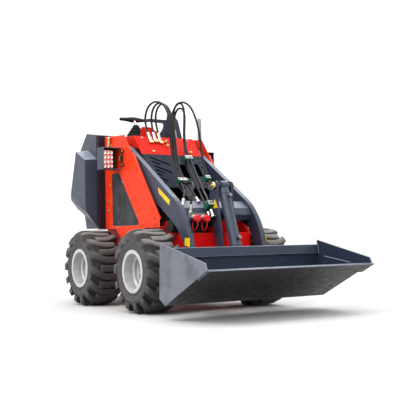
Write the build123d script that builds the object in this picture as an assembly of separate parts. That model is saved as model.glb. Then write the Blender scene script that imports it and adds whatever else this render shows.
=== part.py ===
"""A small wheeled stand-on skid steer loader with a general-purpose bucket.

Machine frame in millimetres: X forward, Y to the left, Z up, Y = 0 on the centre plane,
X = 0 midway between the axles and Z = 0 on the ground. Every piece is written with the
whole machine moved back by CENTRE_X, so that X = 0 is then the middle of its length.
"""
import os
from math import atan2, cos, degrees, hypot, pi, radians, sin, sqrt, tan

from build123d import *

# Overall places and clearances
CENTRE_X = 140.0
PLATFORM_REAR_X = -893.0
SEAT = 0.3
RUN_GAP = 5.0
PIN_GAP = 0.4
SHEET = 3.0
PLATE = 12.0

# Lower frame
TUB_HALF = 209.0
TUB_REAR_X = -480.0
TUB_FRONT_X = 500.0
TUB_FLOOR_Z = 120.0
NOSE_Z = (190.0, 430.0)
FLOOR_T = 8.0
SHELF_T = 6.0
SHELF_REAR_X = -490.0
SHELF_FRONT_X = 317.0
SLOT_X = (-150.0, 20.0)
SIDE_RISE = 35.0
TIE_HOLE = (-503.0, 332.0)
TIE_HOLE_R = 14.0

# Wheels
WHEELBASE = 690.0
TYRE_R = 228.0
TYRE_WIDTH = 216.0
TYRE_TO_TUB = 50.0
TYRE_TO_BODY = 6.0
TREAD_FLAT = 150.0
SHOULDER_DROP = 38.0
LUG_HEIGHT = 17.0
LUG_COUNT = 14
LUG_WIDTH = 42.0
LUG_OVERLAP = 55.0
LUG_SWEEP = 12.5
RIM_SEAT_R = 102.0
RIM_FLANGE_H = 15.0
RIM_WELL_DEPTH = 9.0
RIM_INSET = 9.0
RIM_SHEET = 5.0
DISC_BORE_R = 38.0
NUT_CIRCLE_R = 62.0
HUB_R = 55.0
HUB_LENGTH = 27.0
WHEEL_PLANE_Y = TUB_HALF + TYRE_TO_TUB + TYRE_WIDTH / 2
TUB_TOP_Z = 2 * TYRE_R + TYRE_TO_BODY
SHELF_TOP_Z = TUB_TOP_Z + SHELF_T

# Loader arms and their pins
ARM_TO_TUB = 13.0
ARM_T = 30.0
LIFT_PIN = (-250.0, 955.0)
LIFT_BOSS_R = 48.0
LIFT_PIN_R = 20.0
BUCKET_PIN = (645.0, 150.0)
BUCKET_BOSS_R = 38.0
BUCKET_PIN_R = 15.0
TILT_BASE = (538.0, 687.0)
TILT_EYE = (697.0, 240.0)
CENTRE_PLATE_IN_Y = 42.0
TILT_LEAN = (TILT_EYE[0] - TILT_BASE[0]) / (TILT_BASE[1] - TILT_EYE[1])
ARM_KNEE = (501.0, 441.0)
ARM_IN_Y = TUB_HALF + ARM_TO_TUB
ARM_OUT_Y = ARM_IN_Y + ARM_T
ARM_MIDDLE_Y = ARM_IN_Y + ARM_T / 2
CENTRE_PLATE_OUT_Y = CENTRE_PLATE_IN_Y + PLATE
STOP_X = 386.0
STOP_Z = 469.0
BEAM_X = (400.0, 492.0)
BEAM_Z = 500.0
LOW_BEAM_X = (556.0, 600.0)
LOW_BEAM_Z = (240.0, 320.0)

# Body sheets
PIVOT_PLATE_T = 13.0
WALL_REAR_X = -367.7
PANEL_REAR_X = -365.0
PANEL_TO_TUB = 1.0
PANEL_DIP = 68.0
PANEL_LIP = 14.0
HOOD_STEP = 42.0
HIP_STEP = 124.0
CONSOLE_SIDE_Z = 945.0
PANEL_OUT_Y = ARM_OUT_Y + RUN_GAP + PIVOT_PLATE_T + 2 * SHEET
PANEL_BOTTOM_Z = TUB_TOP_Z + PANEL_TO_TUB
HOOD_HALF = PANEL_OUT_Y + HOOD_STEP
HIP_HALF = PANEL_OUT_Y + HIP_STEP
CONSOLE_BROW = (-104.0, 1025.0)
CONSOLE_FOOT = (-2.0, 906.0)
CONSOLE_SHEET = 6.0
COVER_TOP = (-1.0, 905.0)
COVER_FALL = 1.28
COVER_LENGTH = 264.0
COVER_T = 6.0

ENGINE_X = (-330.0, 120.0)
ENGINE_TOP_Z = 640.0
ENGINE_TO_TUB = 59.0
HOOD_FRONT_X = -368.0
HOOD_BACK_X = -660.0
HOOD_TOP_Z = (1052.0, 1080.0)
HIP_FRONT_X = -398.0
HIP_REAR_X = -533.0
HIP_LEAN = 86 / 270
PAD_Z = (730.0, 935.0)
PAD_HALF = 160.0
PAD_T = 34.0
PLATFORM_Z = 215.0
PLATFORM_T = 8.0
PLATFORM_STEP = 36.0
PLATFORM_SIDE_T = 6.0

# Lift cylinders, in the plane of each arm
RAM_BASE = (-90.0, 330.0)
RAM_EYE = (-120.0, 765.0)
RAM_R = 22.0
RAM_ROD_R = 12.0
RAM_EYE_R = 20.0
RAM_EYE_W = 23.0
RAM_EYE_BORE = 10.0
RAM_TUBE_END = 350.0

# Tilt cylinder
TILT_R = 30.0
TILT_ROD_R = 16.0
TILT_EYE_R = 20.0
TILT_EYE_W = 40.0
TILT_EYE_BORE = 12.0
TILT_TUBE_END = 370.0

# Bucket, with its floor turned up by the curl
CURL = 25.8
HEEL = (770.0, 73.0)
FLOOR_LENGTH = 430.0
BUCKET_HALF = 510.0
BUCKET_SHEET = 6.0
BACK_FOOT = (-34.0, 52.0)
BACK_TOP = (98.0, 296.0)
SIDE_TIP_Z = 34.0
BACK_SHORT = 26.0
EDGE_T = 12.0
EDGE_WIDTH = 108.0
EDGE_REACH = 13.0
COUPLER_T = 10.0

# Controls, lamps and the post on the left panel
HANDLE = (-500.0, 1185.0)
HANDLE_HALF = 102.0
HANDLE_R = (14.0, 18.0)
HANDLE_GRIP = 34.0
BOOT_X = -468.0
BOOT_FOOT_Z = 1070.0
BOOT_NECK_R = 10.0
DASH_X = -206.0
LAMP_FRAME_Z = (820.0, 952.0)
LAMP_FRAME_X = (-230.0, -140.0)
LAMP_OUT = 119.0
LAMP_SHEET = 4.0
LAMP_FACE_X = -165.0
LAMP_WIDTH = 66.0
REFLECTOR_R = 9.0
POST_X = (-149.0, -107.0)

# Hydraulic hoses, as the corners of their routes
HOSE_R = 6.5
HOSE_GAP = 0.3
FERRULE_R = 9.0
BOSS_R = 12.0
START_FERRULE = 45.0
END_FERRULE = 40.0
PLATE_FERRULE = 30.0
COUPLER_TO_ARM = 8.0
COUPLER_X = 493.0
COUPLER_Z = (498.0, 538.0)
COUPLER_Y = (-184.0, -124.0)
COUPLER_R = (15.0, 18.0)
CLAMP_A_Y = (-98.0, -36.0)
CLAMP_B_Y = (64.0, 116.0)
CLAMP_C_Y = (84.0, 116.0)
STRAP_C_Y = (80.0, 120.0)
CLAMP_D_T = 34.0
# The routes are drawn for arms this far from the centre plane, and spread with them
ROUTE_HALF = 222.0
SPREAD = ARM_IN_Y / ROUTE_HALF
HOSES = {
    "hose_1": [
        (-102, -108, 1038), (-134, -108, 1087), (-144, -109, 1145), (-118, -107, 1200),
        (-62, -104, 1228), (4, -100, 1226), (65, -92, 1197), (98, -83, 1140), (104, -76, 1070),
        (104, -73, 998), (108, -70, 925), (128, -71, 853), (168, -76, 783), (222, -82, 731),
        (288, -101, 690), (356, -137, 660), (404, -168, 636), (425, -187, 607),
    ],
    "hose_2": [
        (-102, -72, 1040), (-124, -72, 1090), (-130, -72, 1148), (-110, -72, 1198),
        (-62, -70, 1226), (-4, -67, 1222), (48, -64, 1184), (80, -60, 1125), (92, -56, 1052),
        (99, -54, 978), (108, -53, 905), (134, -56, 838), (168, -60, 779), (220, -66, 733),
        (290, -78, 708), (372, -100, 718), (446, -134, 698), (486, -166, 648), (495, -180, 600),
        (495, -182, 572),
    ],
    "hose_3": [
        (-100, -39, 1036), (-122, -40, 1088), (-134, -41, 1145), (-118, -41, 1196),
        (-70, -40, 1226), (-12, -38, 1216), (36, -36, 1172), (64, -34, 1108), (78, -32, 1036),
        (89, -31, 962), (104, -33, 890), (134, -38, 822), (170, -44, 771), (217, -50, 734),
        (268, -56, 700), (318, -64, 667), (364, -73, 640), (394, -79, 620),
    ],
    "hose_4": [
        (-144, 100, 1066), (-150, 100, 1133), (-149, 99, 1196), (-112, 97, 1240),
        (-54, 94, 1243), (-12, 92, 1206), (-6, 91, 1148), (-10, 91, 1090), (-12, 90, 1036),
        (-8, 89, 984), (6, 87, 934), (37, 80, 886), (106, 55, 812), (222, 18, 730),
        (336, -22, 660), (428, -58, 612), (484, -76, 572), (510, -76, 533),
    ],
    "hose_5": [
        (-162, 115, 1056), (-169, 115, 1112), (-168, 115, 1168), (-130, 113, 1211),
        (-72, 110, 1214), (-30, 108, 1177), (-25, 106, 1120), (-30, 105, 1066),
        (-29, 105, 1014), (-18, 103, 966), (4, 101, 926), (37, 98, 893), (118, 76, 822),
        (236, 36, 741), (350, -8, 672), (450, -48, 624), (510, -72, 580), (536, -74, 544),
    ],
    "hose_6": [
        (-112, 66, 1066), (-122, 66, 1116), (-118, 69, 1172), (-84, 72, 1218), (-30, 76, 1240),
        (30, 82, 1228), (82, 86, 1192), (118, 90, 1136), (145, 93, 1072), (162, 95, 1006),
        (172, 97, 938), (184, 99, 868), (202, 100, 808), (232, 100, 748), (278, 100, 700),
        (328, 100, 662), (370, 100, 636), (396, 100, 618),
    ],
}


def face_xz(points, radii=0):
    """A flat face from points in X and Z, with its corners rounded by the radii."""
    if isinstance(radii, (int, float)):
        radii = [radii] * len(points)
    return make_face(FilletPolyline(*points, radius=radii, close=True))


def slab(points, y_low, y_high, radii=0):
    """The outline in X and Z, as a plate from y_low to y_high."""
    flat = face_xz(points, radii)
    plane = Plane(origin=(0, y_high, 0), x_dir=(1, 0, 0), z_dir=(0, -1, 0))
    return extrude(plane * flat, y_high - y_low)


def wall(points, x_low, x_high, radii=0):
    """The outline in Y and Z, as a plate from x_low to x_high."""
    flat = face_xz(points, radii)
    plane = Plane(origin=(x_low, 0, 0), x_dir=(0, 1, 0), z_dir=(1, 0, 0))
    return extrude(plane * flat, x_high - x_low)


def block(x_low, x_high, y_low, y_high, z_low, z_high):
    """A plain box between its limits."""
    size = (x_high - x_low, y_high - y_low, z_high - z_low)
    middle = ((x_high + x_low) / 2, (y_high + y_low) / 2, (z_high + z_low) / 2)
    return Pos(*middle) * Box(*size)


def disc(place, radius, y_low, y_high):
    """A round bar along Y, from y_low to y_high, at a place in X and Z."""
    middle = Pos(place[0], (y_low + y_high) / 2, place[1])
    return middle * (Rot(90, 0, 0) * Cylinder(radius, y_high - y_low))


def pile(*shapes):
    """Pieces that share a node, as one compound of their solids."""
    return Compound([solid for shape in shapes for solid in shape.solids()])


def left_of(shape):
    """The left-hand twin of a right-hand piece."""
    return mirror(shape, Plane.XZ)


def both(shape):
    """The right-hand piece and its mirror image on the left."""
    return pile(shape, left_of(shape))


def along(start, end, low, high, radius, y=0.0):
    """A round bar on the line from start to end in X and Z, from low to high along it."""
    length = hypot(end[0] - start[0], end[1] - start[1])
    direction = ((end[0] - start[0]) / length, (end[1] - start[1]) / length)
    plane = Plane(
        origin=(start[0] + direction[0] * low, y, start[1] + direction[1] * low),
        z_dir=(direction[0], 0, direction[1]),
    )
    return extrude(plane * Circle(radius), high - low)


def rod(start, end, radius):
    """A round bar between two points in space."""
    way = Vector(*end) - Vector(*start)
    return extrude(Plane(origin=start, z_dir=way) * Circle(radius), way.length)


def tyre_carcass():
    """The tyre's casing about the Y axis, below the lugs."""
    half = TYRE_WIDTH / 2
    bead = half - RIM_INSET - RIM_SHEET - SEAT
    flange = RIM_SEAT_R + RIM_FLANGE_H
    tread = TYRE_R - LUG_HEIGHT
    side = [
        (RIM_SEAT_R, bead), (flange + 3, bead), (flange + 12, half - 8),
        ((flange + tread) / 2, half - 4), (tread - 21, half - 6), (tread, TREAD_FLAT / 2),
    ]
    profile = [(r, -y) for r, y in side] + [(r, y) for r, y in reversed(side)]
    return revolve(make_face(FilletPolyline(*profile, radius=0, close=True)), Axis.Y)


def lug():
    """One bar of the tread at the top of the tyre, from past its middle to the left shoulder."""
    half = TYRE_WIDTH / 2
    tip = sqrt(TYRE_R ** 2 - (LUG_WIDTH / 2) ** 2)
    root = TYRE_R - LUG_HEIGHT - 6
    # columns: place along Y, turn about the axle in degrees, foot radius, top radius, width
    stations = (
        (-LUG_OVERLAP, 0, root, tip, LUG_WIDTH - 4),
        (TREAD_FLAT / 2, LUG_SWEEP / 2, root, tip, LUG_WIDTH),
        (half, LUG_SWEEP, root - SHOULDER_DROP, tip - SHOULDER_DROP + 8, LUG_WIDTH + 4),
    )
    sections = []
    for y, turn, low, high, width in stations:
        a = radians(turn)
        foot, top = width / 2 + 3, width / 2
        corners = [(foot, low), (-foot, low), (-top, high), (top, high)]
        ring = [(x * cos(a) - z * sin(a), y, x * sin(a) + z * cos(a)) for x, z in corners]
        sections.append(make_face(Polyline(*ring, close=True)))
    return loft(sections, ruled=True)


def tyre():
    """One tyre about the Y axis, with the staggered bars of its tread."""
    bar = lug()
    bars = []
    for index in range(LUG_COUNT):
        turn = 360 / LUG_COUNT * index
        bars.append(Rot(0, turn, 0) * bar)
        bars.append(Rot(0, turn + 180 / LUG_COUNT, 0) * mirror(bar, Plane.XZ))
    return tyre_carcass().fuse(*bars)


def rim():
    """One pressed rim about the Y axis with its deep disc, the outer side towards +Y."""
    half = TYRE_WIDTH / 2 - RIM_INSET
    seat = RIM_SEAT_R - SEAT
    flange = RIM_SEAT_R + RIM_FLANGE_H
    lip = half - RIM_SHEET
    inside = seat - RIM_SHEET
    drop = seat - RIM_WELL_DEPTH
    well = drop - RIM_SHEET
    profile = [
        (flange, half), (flange, lip), (seat, lip), (seat, 44), (drop, 36), (drop, -36),
        (seat, -44), (seat, -lip), (flange, -lip), (flange, -half), (inside, -half),
        (inside, -46), (well, -38), (well, 4), (DISC_BORE_R, 4), (DISC_BORE_R, 12),
        (well - 8, 12), (well, 24), (well, 38), (inside, 46), (inside, half),
    ]
    shape = revolve(make_face(FilletPolyline(*profile, radius=0, close=True)), Axis.Y)
    shape += disc((0, 0), HUB_R, -HUB_LENGTH + 4 + SEAT, 4) + disc((0, 0), DISC_BORE_R, 4, 22)
    nut = disc((NUT_CIRCLE_R, 0), 11, 11, 26)
    return shape.fuse(*[Rot(0, 72 * index, 0) * nut for index in range(5)])


def wheel_pieces():
    """The four tyres and rims, by name."""
    left_tyre, left_rim = tyre(), rim()
    right_tyre, right_rim = left_of(left_tyre), left_of(left_rim)
    pieces = {}
    for end, x in (("front", WHEELBASE / 2), ("rear", -WHEELBASE / 2)):
        left, right = Pos(x, WHEEL_PLANE_Y, TYRE_R), Pos(x, -WHEEL_PLANE_Y, TYRE_R)
        pieces[f"tyre_{end}_left"] = left * left_tyre
        pieces[f"rim_{end}_left"] = left * left_rim
        pieces[f"tyre_{end}_right"] = right * right_tyre
        pieces[f"rim_{end}_right"] = right * right_rim
    return pieces


def drive_motors():
    """The four wheel motors on the lower frame's sides, each with its round flange."""
    face = WHEEL_PLANE_Y - HUB_LENGTH + 4
    motors = []
    for x in (WHEELBASE / 2, -WHEELBASE / 2):
        motor = disc((x, TYRE_R), HUB_R, -face, -TUB_HALF - SEAT)
        motors.append(both(motor + disc((x, TYRE_R), HUB_R + 25, -TUB_HALF - 12, -TUB_HALF - SEAT)))
    return pile(*motors)


def lower_frame():
    """Side plates, floor, end plates and the shelves above the tyres, welded."""
    foot = 50
    side = [
        (TUB_REAR_X, 170), (TUB_REAR_X + foot, TUB_FLOOR_Z), (TUB_FRONT_X - 70, TUB_FLOOR_Z),
        (TUB_FRONT_X, NOSE_Z[0]), (TUB_FRONT_X, NOSE_Z[1]), (TUB_FRONT_X - 30, TUB_TOP_Z),
        (TUB_FRONT_X - 80, TUB_TOP_Z + SIDE_RISE), (TUB_FRONT_X - 250, TUB_TOP_Z + SIDE_RISE),
        (TUB_FRONT_X - 270, TUB_TOP_Z), (TUB_REAR_X, TUB_TOP_Z), (TUB_REAR_X, 385),
        (TIE_HOLE[0] - 22, TIE_HOLE[1] + 26), (TIE_HOLE[0] - 22, TIE_HOLE[1] - 26),
        (TUB_REAR_X, 280),
    ]
    inner = TUB_HALF - PLATE
    plate = slab(side, -TUB_HALF, -inner) - disc(TIE_HOLE, TIE_HOLE_R, -TUB_HALF - 1, -inner + 1)
    floor_low, floor_high = TUB_FLOOR_Z, TUB_FLOOR_Z + FLOOR_T
    tub = plate + left_of(plate)
    tub += block(TUB_REAR_X + foot, TUB_FRONT_X - 70, -inner, inner, floor_low, floor_high)
    tub += block(TUB_FRONT_X - FLOOR_T, TUB_FRONT_X, -inner, inner, *NOSE_Z)
    tub += block(TUB_REAR_X, TUB_REAR_X + FLOOR_T, -inner, inner, 170, TUB_TOP_Z)
    edge = PANEL_OUT_Y - SHEET - SEAT
    for low, high in ((SHELF_REAR_X, SLOT_X[0]), (SLOT_X[1], SHELF_FRONT_X)):
        tub += block(low, high, -edge, -inner, TUB_TOP_Z, SHELF_TOP_Z)
        tub += block(low, high, inner, edge, TUB_TOP_Z, SHELF_TOP_Z)
    return tub


def ram_brackets():
    """The lugs and pins that carry the lift cylinders' bases."""
    near = ARM_MIDDLE_Y - RAM_EYE_W / 2 - 3.5
    far = ARM_MIDDLE_Y + RAM_EYE_W / 2 + 4
    x, z = RAM_BASE
    outline = [(x - 45, z - 30), (x + 45, z - 30), (x + 25, z + 25), (x - 25, z + 25)]
    foot = slab(outline, TUB_HALF + SEAT, min(TUB_HALF + 4, near))
    return both(foot + disc(RAM_BASE, RAM_ROD_R - PIN_GAP, TUB_HALF + SEAT, far))


def side_panel():
    """The right-hand red panel with its window and the lip along its slope."""
    low, dip = PANEL_BOTTOM_Z, PANEL_BOTTOM_Z - PANEL_DIP
    outline = [
        (PANEL_REAR_X, low), (-230, low), (-150, dip), (60, dip), (140, low), (317, low),
        (315, low + 49), (2, 908), (-11, 915), (-98, 1026), (PANEL_REAR_X, 1040),
    ]
    window = [(-269, low + 17), (85, low + 17), (-177, 803), (-273, 804)]
    panel = slab(outline, -PANEL_OUT_Y, -PANEL_OUT_Y + SHEET)
    panel -= slab(window, -PANEL_OUT_Y - 1, -PANEL_OUT_Y + SHEET + 1, 14)
    lip = [(2, 908), (-0.4, 906.1), (312.6, low + 47.1), (315, low + 49)]
    return panel + slab(lip, -PANEL_OUT_Y, -PANEL_OUT_Y + PANEL_LIP)


def window_mesh():
    """The right-hand perforated sheet behind the panel's window."""
    low = PANEL_BOTTOM_Z + 7
    outline = [(-279, low), (105, low), (-172, 813), (-283, 814)]
    behind = -PANEL_OUT_Y + SHEET + SEAT
    return slab(outline, behind, behind + 2)


def console_inside(z):
    """X of the inner side of the console's face at a height."""
    run, drop = CONSOLE_FOOT[0] - CONSOLE_BROW[0], CONSOLE_BROW[1] - CONSOLE_FOOT[1]
    back = CONSOLE_SHEET * hypot(run, drop) / drop
    return CONSOLE_FOOT[0] - (z - CONSOLE_FOOT[1]) * run / drop - back


def cover_inside(x):
    """Z of the louvred cover's inner side at a place along X."""
    slope = sqrt(1 + COVER_FALL ** 2)
    return COVER_TOP[1] - COVER_FALL * (x - COVER_TOP[0]) - (COVER_T + SEAT) * slope


def inner_walls():
    """The walls between the engine bay and the slots in which the arms move."""
    front = COVER_LENGTH / sqrt(1 + COVER_FALL ** 2) + COVER_TOP[0] - 1
    top = CONSOLE_SIDE_Z - SEAT
    low = SHELF_TOP_Z + SEAT
    brow_z = CONSOLE_FOOT[1] - 5
    outline = [
        (WALL_REAR_X, low), (front, low), (front, cover_inside(front)),
        (console_inside(brow_z) - 1, brow_z), (console_inside(top) - 1, top), (WALL_REAR_X, top),
    ]
    return both(slab(outline, -TUB_HALF, -TUB_HALF + PLATE))


def pivot_plates():
    """The outer plates behind the panels, with the pins on which the arms turn."""
    x, z = LIFT_PIN
    outline = [
        (x - 100, SHELF_TOP_Z + SEAT), (x + 60, SHELF_TOP_Z + SEAT), (x + 50, z + 45),
        (x - 50, z + 45),
    ]
    inside = ARM_OUT_Y + RUN_GAP
    plate = slab(outline, -inside - PIVOT_PLATE_T, -inside)
    return both(plate + disc(LIFT_PIN, LIFT_PIN_R, -inside, -TUB_HALF - SEAT))


def console():
    """The red console: bent top and face, its cheeks, and the stay behind the hand rest."""
    brow, foot = CONSOLE_BROW, CONSOLE_FOOT
    top, drop = brow[1] + 9, 1.5 * CONSOLE_SHEET
    skin = [
        (WALL_REAR_X, top), brow, foot, (console_inside(foot[1] - 4), foot[1] - 4),
        (console_inside(brow[1] - drop), brow[1] - drop), (WALL_REAR_X, top - drop),
    ]
    cheek = [
        (WALL_REAR_X, CONSOLE_SIDE_Z), (console_inside(CONSOLE_SIDE_Z), CONSOLE_SIDE_Z),
        skin[4], skin[5],
    ]
    shape = slab(skin, -TUB_HALF, TUB_HALF)
    for low in (-TUB_HALF, TUB_HALF - PLATE):
        shape += slab(cheek, low, low + PLATE)
    stay = [(-100, 1027), (35, 1027), (30, 1066), (-30, 1100), (-94, 1100)]
    return shape + wall(stay, DASH_X - 16, DASH_X - 12, [0, 0, 8, 12, 12])


def cover_plane():
    """The louvred cover's outer face: X runs down the slope and Y to the left."""
    slope = sqrt(1 + COVER_FALL ** 2)
    down = (1 / slope, 0, -COVER_FALL / slope)
    return Plane(
        origin=(COVER_TOP[0], 0, COVER_TOP[1]), x_dir=down, z_dir=(-down[2], 0, down[0])
    )


def louvre_cover():
    """The charcoal cover over the engine bay, in line with the console's face."""
    plane = cover_plane()
    low, high = (0, -TUB_HALF), (COVER_LENGTH, TUB_HALF)
    sheet = plane * Rectangle(high[0] - low[0], high[1] - low[1], align=(Align.MIN, Align.CENTER))
    cover = extrude(sheet, -COVER_T)
    # columns: start down the slope, start Y, end down the slope, end Y
    louvres = (
        (23, -44, 86, -165), (57, -112, 84, -164), (91, -53, 146, -162), (123, -108, 153, -160),
        (154, -128, 170, -158), (184, -104, 213, -156), (215, -122, 232, -154),
    )
    for s0, y0, s1, y1 in louvres:
        turn = Rot(0, 0, degrees(atan2(y1 - y0, s1 - s0)))
        middle = Pos((s0 + s1) / 2, (y0 + y1) / 2, 0)
        slot = plane * (middle * turn * SlotOverall(hypot(s1 - s0, y1 - y0), 9))
        cover -= extrude(slot, -2 * COVER_T, both=True)
    # columns: middle down the slope, middle Y, length, width
    for s, y, length, width in ((130, 38, 110, 44), (118, 138, 104, 36)):
        hole = plane * (Pos(s, y, 0) * RectangleRounded(length, width, 6))
        cover -= extrude(hole, -2 * COVER_T, both=True)
    for s in (21, 55, 92):
        cover -= extrude(plane * (Pos(s, TUB_HALF - 35, 0) * Circle(6)), -2 * COVER_T, both=True)
    return cover


def engine_block():
    """The engine and pumps, as one block on the frame's floor."""
    half = TUB_HALF - ENGINE_TO_TUB
    return block(*ENGINE_X, -half, half, TUB_FLOOR_Z + FLOOR_T + SEAT, ENGINE_TOP_Z)


def hood_spine():
    """The rear hood's outline in X and Z, between its two hips."""
    return [
        (HOOD_FRONT_X, SHELF_TOP_Z + SEAT), (HOOD_FRONT_X, HOOD_TOP_Z[0]), (-545, HOOD_TOP_Z[1]),
        (HOOD_BACK_X + 20, 985), (HOOD_BACK_X, 700), (-600, 600), (-560, SHELF_TOP_Z + SEAT),
    ]


def rear_hood():
    """The charcoal rear body with its hip bulges."""
    root = HOOD_HALF - 28
    low = TUB_TOP_Z
    # columns: Y, Z of the hip's front face and of its slanted rear end
    front = [
        (root, 906), (HIP_HALF, 897), (HIP_HALF, low + 155), (HIP_HALF - 8, low + 111),
        (HOOD_HALF, low + 18), (root, low + 18),
    ]
    rear = [
        (root, 975), (HIP_HALF, 960), (HIP_HALF, low + 228), (HIP_HALF - 8, low + 193),
        (HOOD_HALF + 22, low + 138), (root, low + 138),
    ]
    slant = [(HIP_REAR_X - (960 - z) * HIP_LEAN, -y, z) for y, z in rear]
    ends = (
        make_face(Polyline(*[(HIP_FRONT_X, -y, z) for y, z in front], close=True)),
        make_face(Polyline(*slant, close=True)),
    )
    hip = loft(ends, ruled=True)
    return slab(hood_spine(), -HOOD_HALF, HOOD_HALF) + hip + left_of(hip)


def thigh_pad():
    """The pad on the hood's rear face that the operator leans on."""
    face = hood_spine()[3:5]
    lean = (face[1][0] - face[0][0]) / (face[1][1] - face[0][1])
    low, high = PAD_Z
    x = [face[0][0] + (z - face[0][1]) * lean - SEAT for z in (high, low)]
    outline = [(x[0], high), (x[1], low), (x[1] - PAD_T, low + 5), (x[0] - PAD_T, high - 5)]
    return slab(outline, -PAD_HALF, PAD_HALF, [0, 0, 14, 14])


def operator_platform():
    """The plate at the rear on which the operator stands, with its upturned sides."""
    front = TUB_REAR_X - SEAT
    half = TUB_HALF + PLATFORM_STEP
    top = PLATFORM_Z + PLATFORM_T
    deck = block(PLATFORM_REAR_X, front, -half, half, PLATFORM_Z, top)
    side = [(PLATFORM_REAR_X, top), (PLATFORM_REAR_X, top + 22), (front, top + 77), (front, top)]
    thick = PLATFORM_SIDE_T
    return deck + slab(side, -half, thick - half) + slab(side, half - thick, half)


def dash_tower():
    """The charcoal upright on the console, with the hand rest bar."""
    outline = [
        (-65, 1150), (-65, 1130), (58, 1128), (50, 1095), (30, 1066), (20, 1028.9), (190, 1028.9),
        (158, 1150), (122, 1192), (84, 1192), (78, 1150),
    ]
    return wall(outline, DASH_X, DASH_X + PLATE, [8, 8, 12, 0, 0, 0, 0, 20, 18, 18, 12])


def control_lever():
    """The ribbed boot, neck and T-shaped handle of the drive control."""
    top = HANDLE[1]
    # columns: ring radius, ring height above the boot's foot
    steps = ((62, 0), (62, 22), (50, 30), (54, 44), (42, 52), (46, 66), (30, 78), (14, 88))
    profile = [(0, 0)] + list(steps) + [(0, 88)]
    points = [(r, 0, BOOT_FOOT_Z + z) for r, z in profile]
    boot = Pos(BOOT_X, 0, 0) * revolve(make_face(Polyline(*points, close=True)), Axis.Z)
    above = [(x, z + SEAT) for x, z in hood_spine()[1:3]]
    boot -= slab([above[0], above[1], (above[1][0], 1000), (above[0][0], 1000)], -100, 100)
    neck = rod((BOOT_X, 0, BOOT_FOOT_Z + 70), (HANDLE[0], 0, top), BOOT_NECK_R)
    bar = disc(HANDLE, HANDLE_R[0], -HANDLE_HALF, HANDLE_HALF)
    return boot + neck + bar + disc(HANDLE, HANDLE_R[1], -HANDLE_GRIP, HANDLE_GRIP)


def lamp_guards():
    """The open boxes round the work lamps."""
    low, high = LAMP_FRAME_Z
    rear, front = LAMP_FRAME_X
    base, out, thick = PANEL_OUT_Y + SEAT, PANEL_OUT_Y + LAMP_OUT, LAMP_SHEET
    box = block(rear, front, -out, -out + thick, low, high)
    box += block(rear, rear + thick, -out, -base, low, high)
    box += block(rear, front, -out, -base, low, low + thick)
    box += block(rear, front, -out, -base, high - thick, high)
    return both(box)


def lamps():
    """The lamp bodies, each with a grid of reflectors in its front face."""
    out = PANEL_OUT_Y + LAMP_OUT - 8
    near = out - LAMP_WIDTH
    low, high = LAMP_FRAME_Z[0] + 8, LAMP_FRAME_Z[1] - 15
    face = LAMP_FACE_X
    lamp = block(LAMP_FRAME_X[0] + LAMP_SHEET + SEAT, face, -out, -near, low, high)
    pitch_y, pitch_z = (out - near) / 3, (high - low) / 4
    for column in range(3):
        for row in range(4):
            y, z = -out + pitch_y * (column + 0.5), low + pitch_z * (row + 0.5)
            lamp -= Pos(face, y, z) * (Rot(0, 90, 0) * Cylinder(REFLECTOR_R, 16))
    return both(lamp)


def side_post():
    """The flat post on the left panel, beside the console."""
    low, high = POST_X
    outline = [(low, 985), (high, 985), (high, 1158), (low, 1172)]
    return slab(outline, PANEL_OUT_Y + SEAT, PANEL_OUT_Y + SEAT + 4, [4, 4, 6, 6])


def arm_bumpers():
    """The rubber rollers on the frame's sides on which the lowered arms rest."""
    heel_z = LIFT_PIN[1] - LIFT_BOSS_R
    fall = (heel_z - ARM_KNEE[1]) / (ARM_KNEE[0] - LIFT_PIN[0])
    above = heel_z - fall * (STOP_X - LIFT_PIN[0]) - STOP_Z
    place = (STOP_X, STOP_Z)
    near, far = TUB_HALF + RUN_GAP, ARM_OUT_Y
    roller = disc(place, above / sqrt(1 + fall ** 2) - 2 * SEAT, -far, -near)
    return both(roller + disc(place, 16, -near, -TUB_HALF - SEAT))


def arm():
    """The right-hand arm plate, from the lift pin to the bucket pin."""
    outline = [
        (LIFT_PIN[0], LIFT_PIN[1] + LIFT_BOSS_R), (-90, 952), (532, 556), (674, 136),
        (612, 136), ARM_KNEE, (LIFT_PIN[0], LIFT_PIN[1] - LIFT_BOSS_R),
    ]
    near, far = -ARM_OUT_Y, -ARM_IN_Y
    plate = slab(outline, near, far, [0, 150, 400, 0, 0, 300, 0])
    plate += disc(LIFT_PIN, LIFT_BOSS_R, near, far) + disc(BUCKET_PIN, BUCKET_BOSS_R, near, far)
    x, z = RAM_EYE
    lug_outline = [(x - 60, 850), (x - 24, z - 16), (x + 24, z - 16), (x + 70, 805)]
    for low, high in ((near - RUN_GAP, near), (far, far + 8)):
        plate += slab(lug_outline, low, high, [0, 22, 22, 0])
    plate -= disc(LIFT_PIN, LIFT_PIN_R + PIN_GAP, near - 1, far + 1)
    return plate - disc(BUCKET_PIN, BUCKET_PIN_R + PIN_GAP, near - 1, far + 1)


def beam_outline():
    """The upper crossbeam's outline in X and Z."""
    rear, front = BEAM_X
    low = BEAM_Z
    return [
        (rear, low + 108), (front - 22, low + 68), (front, low + 30), (front - 14, low),
        (rear + 40, low), (rear, low + 35),
    ]


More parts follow.
